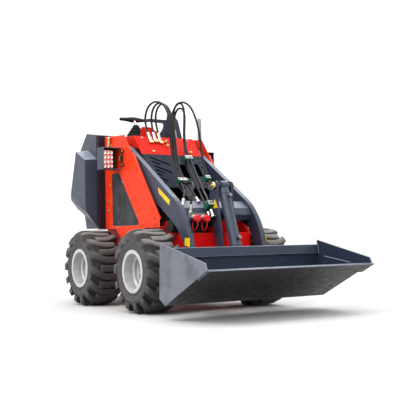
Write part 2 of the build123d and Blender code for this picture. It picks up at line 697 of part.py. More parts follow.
def arm_crossbeams():
    """The beams between the arms, and the two plates that hold the tilt cylinder."""
    upper = slab(beam_outline(), -ARM_IN_Y, ARM_IN_Y)
    rear, front = LOW_BEAM_X
    low, high = LOW_BEAM_Z
    outline = [(rear, high), (front, high), (front + 12, low), (rear + 22, low)]
    lower = slab(outline, -ARM_IN_Y, ARM_IN_Y)
    x, z = TILT_BASE
    plate = [
        (x - 38, z + 25), (x + 22, z + 25), (559, 608), (576, 526), (593, 444), (600, 369),
        (600, 300), (560, 300), (546, 369), (519, 445), (490, 528), (485, 639),
    ]
    beams = upper + lower
    for low in (-CENTRE_PLATE_OUT_Y, CENTRE_PLATE_IN_Y):
        beams += slab(plate, low, low + PLATE, [16, 16] + [0] * 10)
    pin_end = CENTRE_PLATE_OUT_Y + 6
    return beams + disc(TILT_BASE, BUCKET_PIN_R, -pin_end, pin_end)


def lift_barrel():
    """The right-hand lift cylinder's tube, its base eye and its oil port."""
    y = -ARM_MIDDLE_Y
    half = RAM_EYE_W / 2
    tube = along(RAM_BASE, RAM_EYE, 16, RAM_TUBE_END, RAM_R, y)
    tube += disc(RAM_BASE, RAM_EYE_R, y - half, y + half)
    tube += rod((RAM_BASE[0], y, RAM_BASE[1] + 50), (RAM_BASE[0] + 36, y, RAM_BASE[1] + 50), 9)
    tube -= disc(RAM_BASE, RAM_ROD_R, y - half - 1, y + half + 1)
    return tube - along(RAM_BASE, RAM_EYE, 60, RAM_TUBE_END + 1, RAM_ROD_R + PIN_GAP, y)


def lift_rod():
    """The right-hand lift cylinder's rod and eye."""
    y = -ARM_MIDDLE_Y
    half = RAM_EYE_W / 2
    reach = hypot(RAM_EYE[0] - RAM_BASE[0], RAM_EYE[1] - RAM_BASE[1])
    bar = along(RAM_BASE, RAM_EYE, 65, reach - 16, RAM_ROD_R, y)
    bar += disc(RAM_EYE, RAM_EYE_R, y - half, y + half)
    return bar - disc(RAM_EYE, RAM_EYE_BORE, y - half - 1, y + half + 1)


def tilt_barrel():
    """The tilt cylinder's tube with its gland, its base eye and its oil ports."""
    half = TILT_EYE_W / 2
    tube = along(TILT_BASE, TILT_EYE, 20, TILT_TUBE_END, TILT_R)
    tube += along(TILT_BASE, TILT_EYE, TILT_TUBE_END - 34, TILT_TUBE_END - 4, TILT_R + 4)
    tube += disc(TILT_BASE, 26, -half, half)
    for z in (TILT_BASE[1] - 70, TILT_BASE[1] - 300):
        x = TILT_BASE[0] + (TILT_BASE[1] - z) * TILT_LEAN
        tube += rod((x, 0, z), (x + 44, 0, z + 15.6), 10)
    tube -= disc(TILT_BASE, BUCKET_PIN_R + PIN_GAP, -half - 20, half + 20)
    return tube - along(TILT_BASE, TILT_EYE, 55, TILT_TUBE_END + 1, TILT_ROD_R + PIN_GAP)


def tilt_rod():
    """The tilt cylinder's rod and eye."""
    half = TILT_EYE_W / 2
    reach = hypot(TILT_EYE[0] - TILT_BASE[0], TILT_EYE[1] - TILT_BASE[1])
    bar = along(TILT_BASE, TILT_EYE, 60, reach - 16, TILT_ROD_R)
    bar += disc(TILT_EYE, TILT_EYE_R, -half, half)
    return bar - disc(TILT_EYE, TILT_EYE_BORE, -half - 1, half + 1)


def turned(point):
    """A point of the bucket's own outline, turned up by the curl about the heel."""
    c, s = cos(radians(CURL)), sin(radians(CURL))
    return (HEEL[0] + point[0] * c - point[1] * s, HEEL[1] + point[0] * s + point[1] * c)


def back_axis():
    """The unit vector up the bucket's back in its own frame, and the back's length."""
    rise = (BACK_TOP[0] - BACK_FOOT[0], BACK_TOP[1] - BACK_FOOT[1])
    length = hypot(*rise)
    return (rise[0] / length, rise[1] / length), length


def behind_bucket(up, back):
    """A point measured up the bucket's back from its foot, and back from it."""
    (tx, tz), _ = back_axis()
    return turned((BACK_FOOT[0] + tx * up - tz * back, BACK_FOOT[1] + tz * up + tx * back))


def bucket():
    """The bucket's bent floor and back, the rail at its top and the two side plates."""
    _, length = back_axis()
    top = length - BACK_SHORT
    inside = BUCKET_SHEET
    skin = [turned((FLOOR_LENGTH, 0)), turned((0, 0)), behind_bucket(0, 0), behind_bucket(top, 0)]
    skin += [
        behind_bucket(top, -inside), behind_bucket(2, -inside), turned((inside / 2, inside)),
        turned((FLOOR_LENGTH - 10, inside)),
    ]
    shell = slab(skin, -BUCKET_HALF, BUCKET_HALF)
    rail = [
        behind_bucket(top, -inside + 1), behind_bucket(top - 52, -inside + 1),
        behind_bucket(top - 48, -inside - 15), behind_bucket(top, -inside - 3),
    ]
    shell += slab(rail, -BUCKET_HALF, BUCKET_HALF)
    cheek = [(0, 0), (FLOOR_LENGTH, 0), (FLOOR_LENGTH, SIDE_TIP_Z), BACK_TOP, BACK_FOOT]
    side = slab([turned(p) for p in cheek], -BUCKET_HALF, BUCKET_SHEET - BUCKET_HALF)
    return shell + side + left_of(side)


def cutting_edge():
    """The bolted edge under the bucket's lip, with its bevel."""
    front = FLOOR_LENGTH + EDGE_REACH
    rear = front - EDGE_WIDTH
    outline = [
        (rear, -SEAT), (rear + 4, -EDGE_T), (front - 2, -EDGE_T), (front, -EDGE_T + 3),
        (front - 12, -SEAT),
    ]
    return slab([turned(p) for p in outline], -BUCKET_HALF, BUCKET_HALF)


def attach_plate():
    """The coupler plate behind the bucket, its ears for the arms and its ears for the rod."""
    ear_in, ear_out = ARM_IN_Y - RUN_GAP, ARM_OUT_Y + RUN_GAP
    half = ear_out + PLATE + 16
    corners = ((15, SEAT), (250, SEAT), (250, COUPLER_T), (15, COUPLER_T))
    plate = slab([behind_bucket(*p) for p in corners], -half, half)
    plate -= block(600, 760, -26, 26, 190, 300)
    x, z = BUCKET_PIN
    ear = [
        behind_bucket(20, COUPLER_T), behind_bucket(130, COUPLER_T), (x - 10, z + 32),
        (x - 30, z), (x - 10, z - 32),
    ]
    for low, high in ((ear_in - PLATE, ear_in), (ear_out, ear_out + PLATE)):
        plate += slab(ear, low, high) + slab(ear, -high, -low)
    plate += disc(BUCKET_PIN, BUCKET_PIN_R, ear_in - 1, ear_out + 1)
    plate += disc(BUCKET_PIN, BUCKET_PIN_R, -ear_out - 1, -ear_in + 1)
    x, z = TILT_EYE
    rod_ear = [
        behind_bucket(90, COUPLER_T), behind_bucket(180, COUPLER_T), (x - 8, z + 24),
        (x - 24, z), (x - 8, z - 24),
    ]
    near, far = TILT_EYE_W / 2 + 6, TILT_EYE_W / 2 + 16
    return plate + slab(rod_ear, near, far) + slab(rod_ear, -far, -near)


def spread(*places):
    """Places along Y among the hoses, in step with the gap between the arms."""
    return tuple(y * SPREAD for y in places)


def route(name):
    """The corners of a hose, spread with the arms."""
    return [(x, y * SPREAD, z) for x, y, z in HOSES[name]]


def hose_path(points):
    """The route's runs joined by tangent arcs as large as the runs allow, and their radii."""
    radii = []
    for before, corner, after in zip(points, points[1:], points[2:]):
        first, second = Vector(*corner) - Vector(*before), Vector(*after) - Vector(*corner)
        turn = radians(first.get_angle(second))
        radii.append(0.45 * min(first.length, second.length) / tan(turn / 2))
    return FilletPolyline(*points, radius=radii), radii


def hose(points, radius=HOSE_R):
    """A hose of the given radius along its route."""
    path, _ = hose_path(points)
    return sweep((path ^ 0) * Circle(radius), path=path)


def clamp_block(names, centre, slope, width, size):
    """A clamp across a set of hoses, at a place in X and Z on a slope, with its size there."""
    plate = Rectangle(*size)
    plane = Plane(
        origin=(centre[0], width[1], centre[1]),
        x_dir=(cos(radians(slope)), 0, sin(radians(slope))), z_dir=(0, -1, 0),
    )
    body = extrude(plane * plate, width[1] - width[0])
    for name in names:
        body -= hose(route(name), HOSE_R + HOSE_GAP)
    return body


def ferrule(end, beside, length):
    """The ferrule in line with a hose's last run, past its end."""
    way = (Vector(*end) - Vector(*beside)).normalized()
    start = Vector(*end) + way * SEAT
    return rod(start, start + way * length, FERRULE_R)


def start_ferrule(name, length):
    """The ferrule before a hose's first point."""
    return ferrule(*route(name)[:2], length)


def end_ferrule(name, length):
    """The ferrule past a hose's last point."""
    return ferrule(*reversed(route(name)[-2:]), length)


def console_outside():
    """The space below the console's outer faces and the cover, grown by the seat."""
    outline = [
        (WALL_REAR_X, CONSOLE_BROW[1] + 9), CONSOLE_BROW, CONSOLE_FOOT, COVER_TOP,
        (COVER_TOP[0] + 150, COVER_TOP[1] - 150 * COVER_FALL), (WALL_REAR_X, 700),
    ]
    grown = offset(face_xz(outline), SEAT, kind=Kind.INTERSECTION)
    plane = Plane(origin=(0, TUB_HALF, 0), x_dir=(1, 0, 0), z_dir=(0, -1, 0))
    return extrude(plane * grown, 2 * TUB_HALF)


def console_fittings():
    """The hose ends on the console, their bosses, and the clamp on the louvred cover."""
    shapes = []
    # columns: hose, length of its ferrule, height of its boss above the ground
    for name, length, z in (("hose_1", 62, 985), ("hose_2", 58, 991), ("hose_3", 62, 984)):
        x, y, _ = route(name)[0]
        face_x = CONSOLE_BROW[0] + (CONSOLE_BROW[1] - z) * 102 / 119
        boss = rod((face_x - 8, y, z - 7), (face_x + 10, y, z + 8.6), BOSS_R)
        shapes.append(boss + start_ferrule(name, length))
    for name in ("hose_4", "hose_5", "hose_6"):
        fitting = start_ferrule(name, START_FERRULE)
        x, y, z = route(name)[0]
        shapes.append(fitting + rod((x + 3, y, 1020), (x + 3, y, 1044), BOSS_R))
    clamp = clamp_block(("hose_4", "hose_5"), (30, 883), -52, spread(*CLAMP_B_Y), (28, 34))
    shapes.append(clamp)
    space = console_outside()
    return pile(*[shape - space for shape in shapes])


def hose_carrier():
    """The two straps behind the crossbeam that carry the hose clamps."""
    rear = beam_outline()[0][0] - SEAT
    right = [(206, 714), (212, 706), (rear, 574), (rear, 590)]
    left = [(214, 730), (220, 722), (rear, 574), (rear, 590)]
    return pile(slab(right, *spread(*CLAMP_A_Y)), slab(left, *spread(*STRAP_C_Y)))


def arm_clamps():
    """The hose clamps on the carrier straps and on the tilt cylinder's plate."""
    right = clamp_block(
        ("hose_1", "hose_2", "hose_3"), (221, 732), -35.3, spread(*CLAMP_A_Y), (28, 26)
    )
    left = clamp_block(("hose_6",), (231, 748), -39, spread(*CLAMP_C_Y), (28, 30))
    near = -CENTRE_PLATE_OUT_Y - SEAT
    low = clamp_block(("hose_4", "hose_5"), (506, 579), -50, (near - CLAMP_D_T, near), (30, 50))
    return pile(right, left, low)


def quick_couplers():
    """The coupler block under the crossbeam, its two capped couplers and the hose ends."""
    front = COUPLER_X
    low, high = COUPLER_Z
    right = -(ARM_IN_Y - COUPLER_TO_ARM)
    carrier = block(front, front + 24, right, *spread(-104), low, high)
    foot = [(front, high), (front, low), (front - 19, low - 2), (front - 5, high - 4)]
    carrier += slab(foot, *spread(-200, -120))
    for y in spread(*COUPLER_Y):
        neck, cap = (front + 20, y, 512), (front + 62, y, 508)
        carrier += rod(neck, cap, COUPLER_R[0])
        carrier += rod(cap, (front + 76, y, 506.7), COUPLER_R[1])
    shapes = [carrier + end_ferrule("hose_2", END_FERRULE)]
    for name in ("hose_1", "hose_3", "hose_6"):
        shapes.append(end_ferrule(name, END_FERRULE))
    plate_face = -CENTRE_PLATE_OUT_Y - SEAT
    for name in ("hose_4", "hose_5"):
        x, y, z = route(name)[-1]
        boss = disc((x + 2, z - 24), BOSS_R, y - 12, plate_face)
        shapes.append(boss + end_ferrule(name, PLATE_FERRULE))
    grown = offset(face_xz(beam_outline()), SEAT, kind=Kind.INTERSECTION)
    plane = Plane(origin=(0, ARM_IN_Y, 0), x_dir=(1, 0, 0), z_dir=(0, -1, 0))
    beam = extrude(plane * grown, 2 * ARM_IN_Y)
    return pile(*[shape - beam for shape in shapes])


def model():
    """Every piece of the machine, by name."""
    right = {
        "side_panel": side_panel(), "arm": arm(), "lift_barrel": lift_barrel(),
        "lift_rod": lift_rod(),
    }
    pieces = {
        "lower_frame": lower_frame(),
        "drive_motors": drive_motors(),
        "ram_brackets": ram_brackets(),
        "window_meshes": both(window_mesh()),
        "inner_walls": inner_walls(),
        "pivot_plates": pivot_plates(),
        "console": console(),
        "louvre_cover": louvre_cover(),
        "engine_block": engine_block(),
        "rear_hood": rear_hood(),
        "thigh_pad": thigh_pad(),
        "operator_platform": operator_platform(),
        "dash_tower": dash_tower(),
        "control_lever": control_lever(),
        "lamp_guards": lamp_guards(),
        "lamps": lamps(),
        "side_post": side_post(),
        "arm_bumpers": arm_bumpers(),
        "arm_crossbeams": arm_crossbeams(),
        "tilt_barrel": tilt_barrel(),
        "tilt_rod": tilt_rod(),
        "bucket": bucket(),
        "cutting_edge": cutting_edge(),
        "attach_plate": attach_plate(),
        "console_fittings": console_fittings(),
        "hose_carrier": hose_carrier(),
        "arm_clamps": arm_clamps(),
        "quick_couplers": quick_couplers(),
    }
    for name, shape in right.items():
        pieces[f"{name}_right"] = shape
        pieces[f"{name}_left"] = left_of(shape)
    for name in HOSES:
        points = route(name)
        pieces[name] = hose(points)
        path, radii = hose_path(points)
        tightest = min(radii)
        expected = path.length * pi * HOSE_R ** 2
        print(name, "length", round(path.length), "tightest bend", round(tightest), "radii",
              [round(r) for r in radii], "volume ratio", round(pieces[name].volume / expected, 4))
    pieces.update(wheel_pieces())
    return pieces


os.makedirs("parts", exist_ok=True)
for name, shape in model().items():
    export_step(Pos(-CENTRE_X, 0, 0) * pile(shape), f"parts/{name}.step")
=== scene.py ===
"""Looks of a compact wheeled skid steer loader with a rear operator step and a bucket.

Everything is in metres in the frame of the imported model: X forward, Y to the left, Z up.
"""
import math

import bmesh
import bpy
from mathutils import Matrix, Vector


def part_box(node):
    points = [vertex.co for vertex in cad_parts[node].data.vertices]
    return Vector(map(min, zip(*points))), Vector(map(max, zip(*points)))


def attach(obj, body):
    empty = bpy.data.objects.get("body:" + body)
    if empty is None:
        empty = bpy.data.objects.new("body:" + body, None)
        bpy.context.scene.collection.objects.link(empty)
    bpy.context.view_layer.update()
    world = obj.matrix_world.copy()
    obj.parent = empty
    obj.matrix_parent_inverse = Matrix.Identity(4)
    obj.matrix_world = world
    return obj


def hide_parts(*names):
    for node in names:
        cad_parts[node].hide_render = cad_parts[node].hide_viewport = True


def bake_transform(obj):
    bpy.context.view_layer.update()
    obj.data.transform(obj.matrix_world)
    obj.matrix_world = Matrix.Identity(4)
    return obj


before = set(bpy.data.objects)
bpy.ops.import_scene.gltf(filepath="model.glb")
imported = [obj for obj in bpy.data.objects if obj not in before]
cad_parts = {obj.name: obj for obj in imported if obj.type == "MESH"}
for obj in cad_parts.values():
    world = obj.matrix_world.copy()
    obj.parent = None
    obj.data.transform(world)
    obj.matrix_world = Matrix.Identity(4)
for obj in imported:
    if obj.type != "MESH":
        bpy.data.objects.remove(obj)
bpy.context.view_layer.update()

# Camera of the photograph
CAMERA_PLACE = (4.0382, -2.4624, 0.4201)
CAMERA_TURN = 57.0
CAMERA_RISE = -1.9
CAMERA_ROLL = -0.9
LENS_MM = 69.2
SENSOR_MM = 36.0

# Light from the surround at the horizon and overhead
SKY_LOW = 1.0
SKY_HIGH = 3.0

# Colours, linear
FLOOR = (0.46, 0.46, 0.46)
RED = (0.64, 0.034, 0.006)
CONSOLE_RED = (0.50, 0.012, 0.005)
DEEP_RED = (0.64, 0.003, 0.003)
CHARCOAL = (0.027, 0.035, 0.057)
# Painted light: the charcoal paints' faces that look up are lighter, as lit from the sky
CHARCOAL_TOP_LIGHT = (0.155, 0.170, 0.215)
COVER = (0.014, 0.018, 0.032)
HOOD = (0.038, 0.046, 0.068)
BUCKET_GREY = (0.018, 0.026, 0.048)
# Painted shade: the bucket's faces that look down are darker
BUCKET_UNDER_SHADE = (0.010, 0.0095, 0.011)
# Painted light on the outer faces of the bucket's side plates: where they start to either side, and the
# lighter colour
BUCKET_SIDE_LIGHT = ((0.5065, 0.5085), (0.125, 0.128, 0.155))
TYRE = (0.038, 0.035, 0.035)
# Painted light from above, mixed with dust, on the tread bars' top faces
TYRE_TOP_LIGHT_AND_DUST = (0.125, 0.115, 0.109)
# Painted shade: the casing between the tread bars is darker
TYRE_GAP_SHADE = (0.006, 0.0055, 0.0055)
SILVER = (0.47, 0.47, 0.48)
DUST = (0.16, 0.145, 0.13)
MUD = (0.12, 0.105, 0.09)
BLACK = (0.008, 0.008, 0.009)

# Places along X are measured from midway between the axles, as in the CAD source
MIDDLE_X = 0.140

# Loader frame and body: half widths, a height, (X, Z) places of the pins and the heel, the curl in degrees
ARM_IN_Y = 0.222
ARM_OUT_Y = 0.252
PANEL_Y = 0.276
HOOD_Y = 0.318
CENTRE_PLATE_Y = 0.054
PANEL_LOW_Z = 0.463
LIFT_PIN = (-0.250, 0.955)
BUCKET_PIN = (0.645, 0.150)
TILT_BASE = (0.538, 0.687)
TILT_EYE = (0.697, 0.240)
BUCKET_HEEL = (0.770, 0.073)
BUCKET_CURL = 25.8

# Ends of the left lift cylinder, and the lamps' front face and heights
LIFT_RAM = ((-0.090, 0.237, 0.330), (-0.120, 0.237, 0.765))
LAMP_X = -0.165
LAMP_Z = (0.828, 0.937)

# Directions in which the console's sloping face and the hood's rear face look
CONSOLE_OUT = (0.759, 0, 0.651)
HOOD_REAR = Vector((-0.9976, 0, 0.0698))
HOOD_UP = (0.0698, 0, 0.9976)

# Wheels: the sidewall ends at WALL_END_R, and LUG_TOPS are a bar's top faces in each of its rings
TYRE_R = 0.228
TYRE_HALF = 0.108
TYRE_SIDES = 112
WALL_END_R = 0.178
LUG_COUNT = 14
LUG_SWEEP = 12.5
LUG_HALF = 0.0195
LUG_TOPS = (4, 5, 6, 7)
NUT_CIRCLE_R = 0.062

# Rings of a tread bar: Y, top radius, share of the full width
LUG_STATIONS = (
    (-0.0560, 0.2180, 0.78), (-0.0552, 0.2245, 0.90), (-0.0530, 0.2275, 0.97), (-0.0480, 0.2280, 1.0),
    (-0.0200, 0.2280, 1.0), (0.0100, 0.2280, 1.0), (0.0350, 0.2280, 1.0), (0.0550, 0.2278, 1.02),
    (0.0700, 0.2270, 1.05), (0.0820, 0.2245, 1.09), (0.0920, 0.2200, 1.13), (0.1000, 0.2145, 1.16),
    (0.1050, 0.2095, 1.16), (0.1072, 0.2050, 1.14), (0.1080, 0.1990, 1.10),
)

# Half section of a tyre's casing from its bead to its tread: radius, distance from the wheel's middle
TYRE_SIDE = (
    (0.1022, 0.0935), (0.1170, 0.0935), (0.1195, 0.0950), (0.1225, 0.0985), (0.1262, 0.1002),
    (0.1295, 0.0992), (0.1312, 0.0972), (0.1335, 0.0985), (0.1420, 0.1012), (0.1500, 0.1026),
    (0.1580, 0.1032), (0.1600, 0.1046), (0.1625, 0.1048), (0.1640, 0.1034), (0.1700, 0.1028),
    (0.1770, 0.1000), (0.1850, 0.0930), (0.1930, 0.0840), (0.2000, 0.0740), (0.2050, 0.0650),
    (0.2085, 0.0550), (0.2100, 0.0400), (0.2105, 0.0200),
)

# Length of one ripple of a weld bead
WELD_STEP = 0.0035

# Hoses: their radius, and the points of their routes
HOSE_R = 0.0065
ROUTES = {
    "hose_1": [
        (-0.102, -0.108, 1.038), (-0.134, -0.108, 1.087), (-0.144, -0.109, 1.145),
        (-0.118, -0.107, 1.200), (-0.062, -0.104, 1.228), (0.004, -0.100, 1.226),
        (0.065, -0.092, 1.197), (0.098, -0.083, 1.140), (0.104, -0.076, 1.070), (0.104, -0.073, 0.998),
        (0.108, -0.070, 0.925), (0.128, -0.071, 0.853), (0.168, -0.076, 0.783), (0.222, -0.082, 0.731),
        (0.288, -0.101, 0.690), (0.356, -0.137, 0.660), (0.404, -0.168, 0.636), (0.425, -0.187, 0.607),
    ],
    "hose_2": [
        (-0.102, -0.072, 1.040), (-0.124, -0.072, 1.090), (-0.130, -0.072, 1.148),
        (-0.110, -0.072, 1.198), (-0.062, -0.070, 1.226), (-0.004, -0.067, 1.222),
        (0.048, -0.064, 1.184), (0.080, -0.060, 1.125), (0.092, -0.056, 1.052), (0.099, -0.054, 0.978),
        (0.108, -0.053, 0.905), (0.134, -0.056, 0.838), (0.168, -0.060, 0.779), (0.220, -0.066, 0.733),
        (0.290, -0.078, 0.708), (0.372, -0.100, 0.718), (0.446, -0.134, 0.698), (0.486, -0.166, 0.648),
        (0.495, -0.180, 0.600), (0.495, -0.182, 0.572),
    ],
    "hose_3": [
        (-0.100, -0.039, 1.036), (-0.122, -0.040, 1.088), (-0.134, -0.041, 1.145),
        (-0.118, -0.041, 1.196), (-0.070, -0.040, 1.226), (-0.012, -0.038, 1.216),
        (0.036, -0.036, 1.172), (0.064, -0.034, 1.108), (0.078, -0.032, 1.036), (0.089, -0.031, 0.962),
        (0.104, -0.033, 0.890), (0.134, -0.038, 0.822), (0.170, -0.044, 0.771), (0.217, -0.050, 0.734),
        (0.268, -0.056, 0.700), (0.318, -0.064, 0.667), (0.364, -0.073, 0.640), (0.394, -0.079, 0.620),
    ],
    "hose_4": [
        (-0.144, 0.100, 1.066), (-0.150, 0.100, 1.133), (-0.149, 0.099, 1.196), (-0.112, 0.097, 1.240),
        (-0.054, 0.094, 1.243), (-0.012, 0.092, 1.206), (-0.006, 0.091, 1.148), (-0.010, 0.091, 1.090),
        (-0.012, 0.090, 1.036), (-0.008, 0.089, 0.984), (0.006, 0.087, 0.934), (0.037, 0.080, 0.886),
        (0.106, 0.055, 0.812), (0.222, 0.018, 0.730), (0.336, -0.022, 0.660), (0.428, -0.058, 0.612),
        (0.484, -0.076, 0.572), (0.510, -0.076, 0.533),
    ],
    "hose_5": [
        (-0.162, 0.115, 1.056), (-0.169, 0.115, 1.112), (-0.168, 0.115, 1.168), (-0.130, 0.113, 1.211),
        (-0.072, 0.110, 1.214), (-0.030, 0.108, 1.177), (-0.025, 0.106, 1.120), (-0.030, 0.105, 1.066),
        (-0.029, 0.105, 1.014), (-0.018, 0.103, 0.966), (0.004, 0.101, 0.926), (0.037, 0.098, 0.893),
        (0.118, 0.076, 0.822), (0.236, 0.036, 0.741), (0.350, -0.008, 0.672), (0.450, -0.048, 0.624),
        (0.510, -0.072, 0.580), (0.536, -0.074, 0.544),
    ],
    "hose_6": [
        (-0.112, 0.066, 1.066), (-0.122, 0.066, 1.116), (-0.118, 0.069, 1.172), (-0.084, 0.072, 1.218),
        (-0.030, 0.076, 1.240), (0.030, 0.082, 1.228), (0.082, 0.086, 1.192), (0.118, 0.090, 1.136),
        (0.145, 0.093, 1.072), (0.162, 0.095, 1.006), (0.172, 0.097, 0.938), (0.184, 0.099, 0.868),
        (0.202, 0.100, 0.808), (0.232, 0.100, 0.748), (0.278, 0.100, 0.700), (0.328, 0.100, 0.662),
        (0.370, 0.100, 0.636), (0.396, 0.100, 0.618),
    ],
}


def at(x, y, z):
    """A place in the frame, from X measured forward of midway between the axles."""
    return Vector((x - MIDDLE_X, y, z))


def toned(colour, share, plus=0.0):
    """A colour in another tone."""
    return tuple(c * share + plus for c in colour)


def link(name, data):
    """A new object in the scene."""
    piece = bpy.data.objects.new(name, data)
    bpy.context.scene.collection.objects.link(piece)
    return piece


def circle(middle, side, other, radius, sides):
    """Places round a circle in the plane of two directions."""
    angles = [2 * math.pi * j / sides for j in range(sides)]
    return [middle + (side * math.cos(a) + other * math.sin(a)) * radius for a in angles]


class Shade:
    """A material whose nodes are added one by one to a principled shader."""

    def __init__(self, name, colour, rough=0.5, metal=0.0, gloss=0.5):
        self.material = bpy.data.materials.new(name)
        self.material.use_nodes = True
        self.material.diffuse_color = (*colour, 1.0)
        tree = self.material.node_tree
        self.nodes, self.links = tree.nodes, tree.links
        self.shader = self.nodes["Principled BSDF"]
        self.fill(self.shader, ("Base Color", (*colour, 1.0)), ("Roughness", rough), ("Metallic", metal),
                  ("Specular IOR Level", gloss))
        self.place = self.nodes.new("ShaderNodeTexCoord").outputs["Object"]
        self.colour = None
        self.height = None

    def add(self, kind, **values):
        """A new node with some of its settings."""
        node = self.nodes.new(kind)
        for key, value in values.items():
            setattr(node, key, value)
        return node

    def fill(self, node, *pairs):
        """Gives a node's sockets their values: numbers, colours or other nodes' outputs."""
        for socket, value in pairs:
            if isinstance(value, bpy.types.NodeSocket):
                self.links.new(value, node.inputs[socket])
            else:
                node.inputs[socket].default_value = value

    def noise(self, scale, detail=4.0, rough=0.55, stretch=None):
        """A noise value over the surface, from 0 to 1."""
        node = self.add("ShaderNodeTexNoise")
        place = self.place
        if stretch:
            mapping = self.add("ShaderNodeMapping")
            self.fill(mapping, ("Scale", stretch), ("Vector", place))
            place = mapping.outputs["Vector"]
        self.fill(node, ("Scale", scale), ("Detail", detail), ("Roughness", rough), ("Vector", place))
        return node.outputs["Fac"]

    def ramp(self, value, low, high, start=0.0, end=1.0):
        """The value taken from low..high to start..end, smoothly and clamped."""
        node = self.add("ShaderNodeMapRange", interpolation_type="SMOOTHSTEP")
        self.fill(node, ("Value", value), ("From Min", low), ("From Max", high), ("To Min", start),
                  ("To Max", end))
        return node.outputs["Result"]

    def math(self, operation, a, b=0.0):
        """The result of one operation on two values."""
        node = self.add("ShaderNodeMath", operation=operation)
        self.fill(node, (0, a), (1, b))
        return node.outputs["Value"]

    def part(self, vector, axis):
        """One of a vector's three numbers."""
        node = self.add("ShaderNodeSeparateXYZ")
        self.fill(node, ("Vector", vector))
        return node.outputs[axis]

    def facing_up(self, low, high):
        """1 where the surface faces up and 0 where it faces down; swapped marks turn it round."""
        value = self.part(self.add("ShaderNodeNewGeometry").outputs["Normal"], "Z")
        if low > high:
            return self.ramp(value, high, low, 1.0, 0.0)
        return self.ramp(value, low, high)

    def aside(self, low, high):
        """1 farther to either side than high, 0 nearer to the middle than low."""
        return self.ramp(self.math("ABSOLUTE", self.part(self.place, "Y")), low, high)

    def low_down(self, low, high):
        """1 near the ground, 0 above the height high."""
        place = self.add("ShaderNodeNewGeometry").outputs["Position"]
        return self.ramp(self.part(place, "Z"), low, high, 1.0, 0.0)

    def paint_over(self, amount, colour):
        """Mixes a colour over what is there, by an amount from 0 to 1."""
        node = self.add("ShaderNodeMix", data_type="RGBA")
        base = self.shader.inputs["Base Color"].default_value if self.colour is None else self.colour
        self.fill(node, ("A", base), ("B", (*colour, 1.0)), ("Factor", amount))
        self.colour = node.outputs["Result"]

    def blotch(self, colour, low, high, amount, *noise):
        """Mixes a colour in by an amount where a noise rises from its low to its high mark."""
        self.paint_over(self.ramp(self.noise(*noise), low, high, 0.0, amount), colour)

    def roughness(self, low, high, *noise):
        """Lets the roughness vary between two values with a noise."""
        self.fill(self.shader, ("Roughness", self.ramp(self.noise(*noise), 0.3, 0.7, low, high)))

    def bump(self, strength, distance, *noise, **more):
        """Adds the relief of a noise."""
        node = self.add("ShaderNodeBump")
        height = self.noise(*noise, **more)
        self.fill(node, ("Strength", strength), ("Distance", distance), ("Height", height))
        if self.height is not None:
            self.fill(node, ("Normal", self.height))
        self.height = node.outputs["Normal"]

    def done(self):
        """The finished material."""
        if self.colour is not None:
            self.fill(self.shader, ("Base Color", self.colour))
        if self.height is not None:
            self.fill(self.shader, ("Normal", self.height))
        return self.material


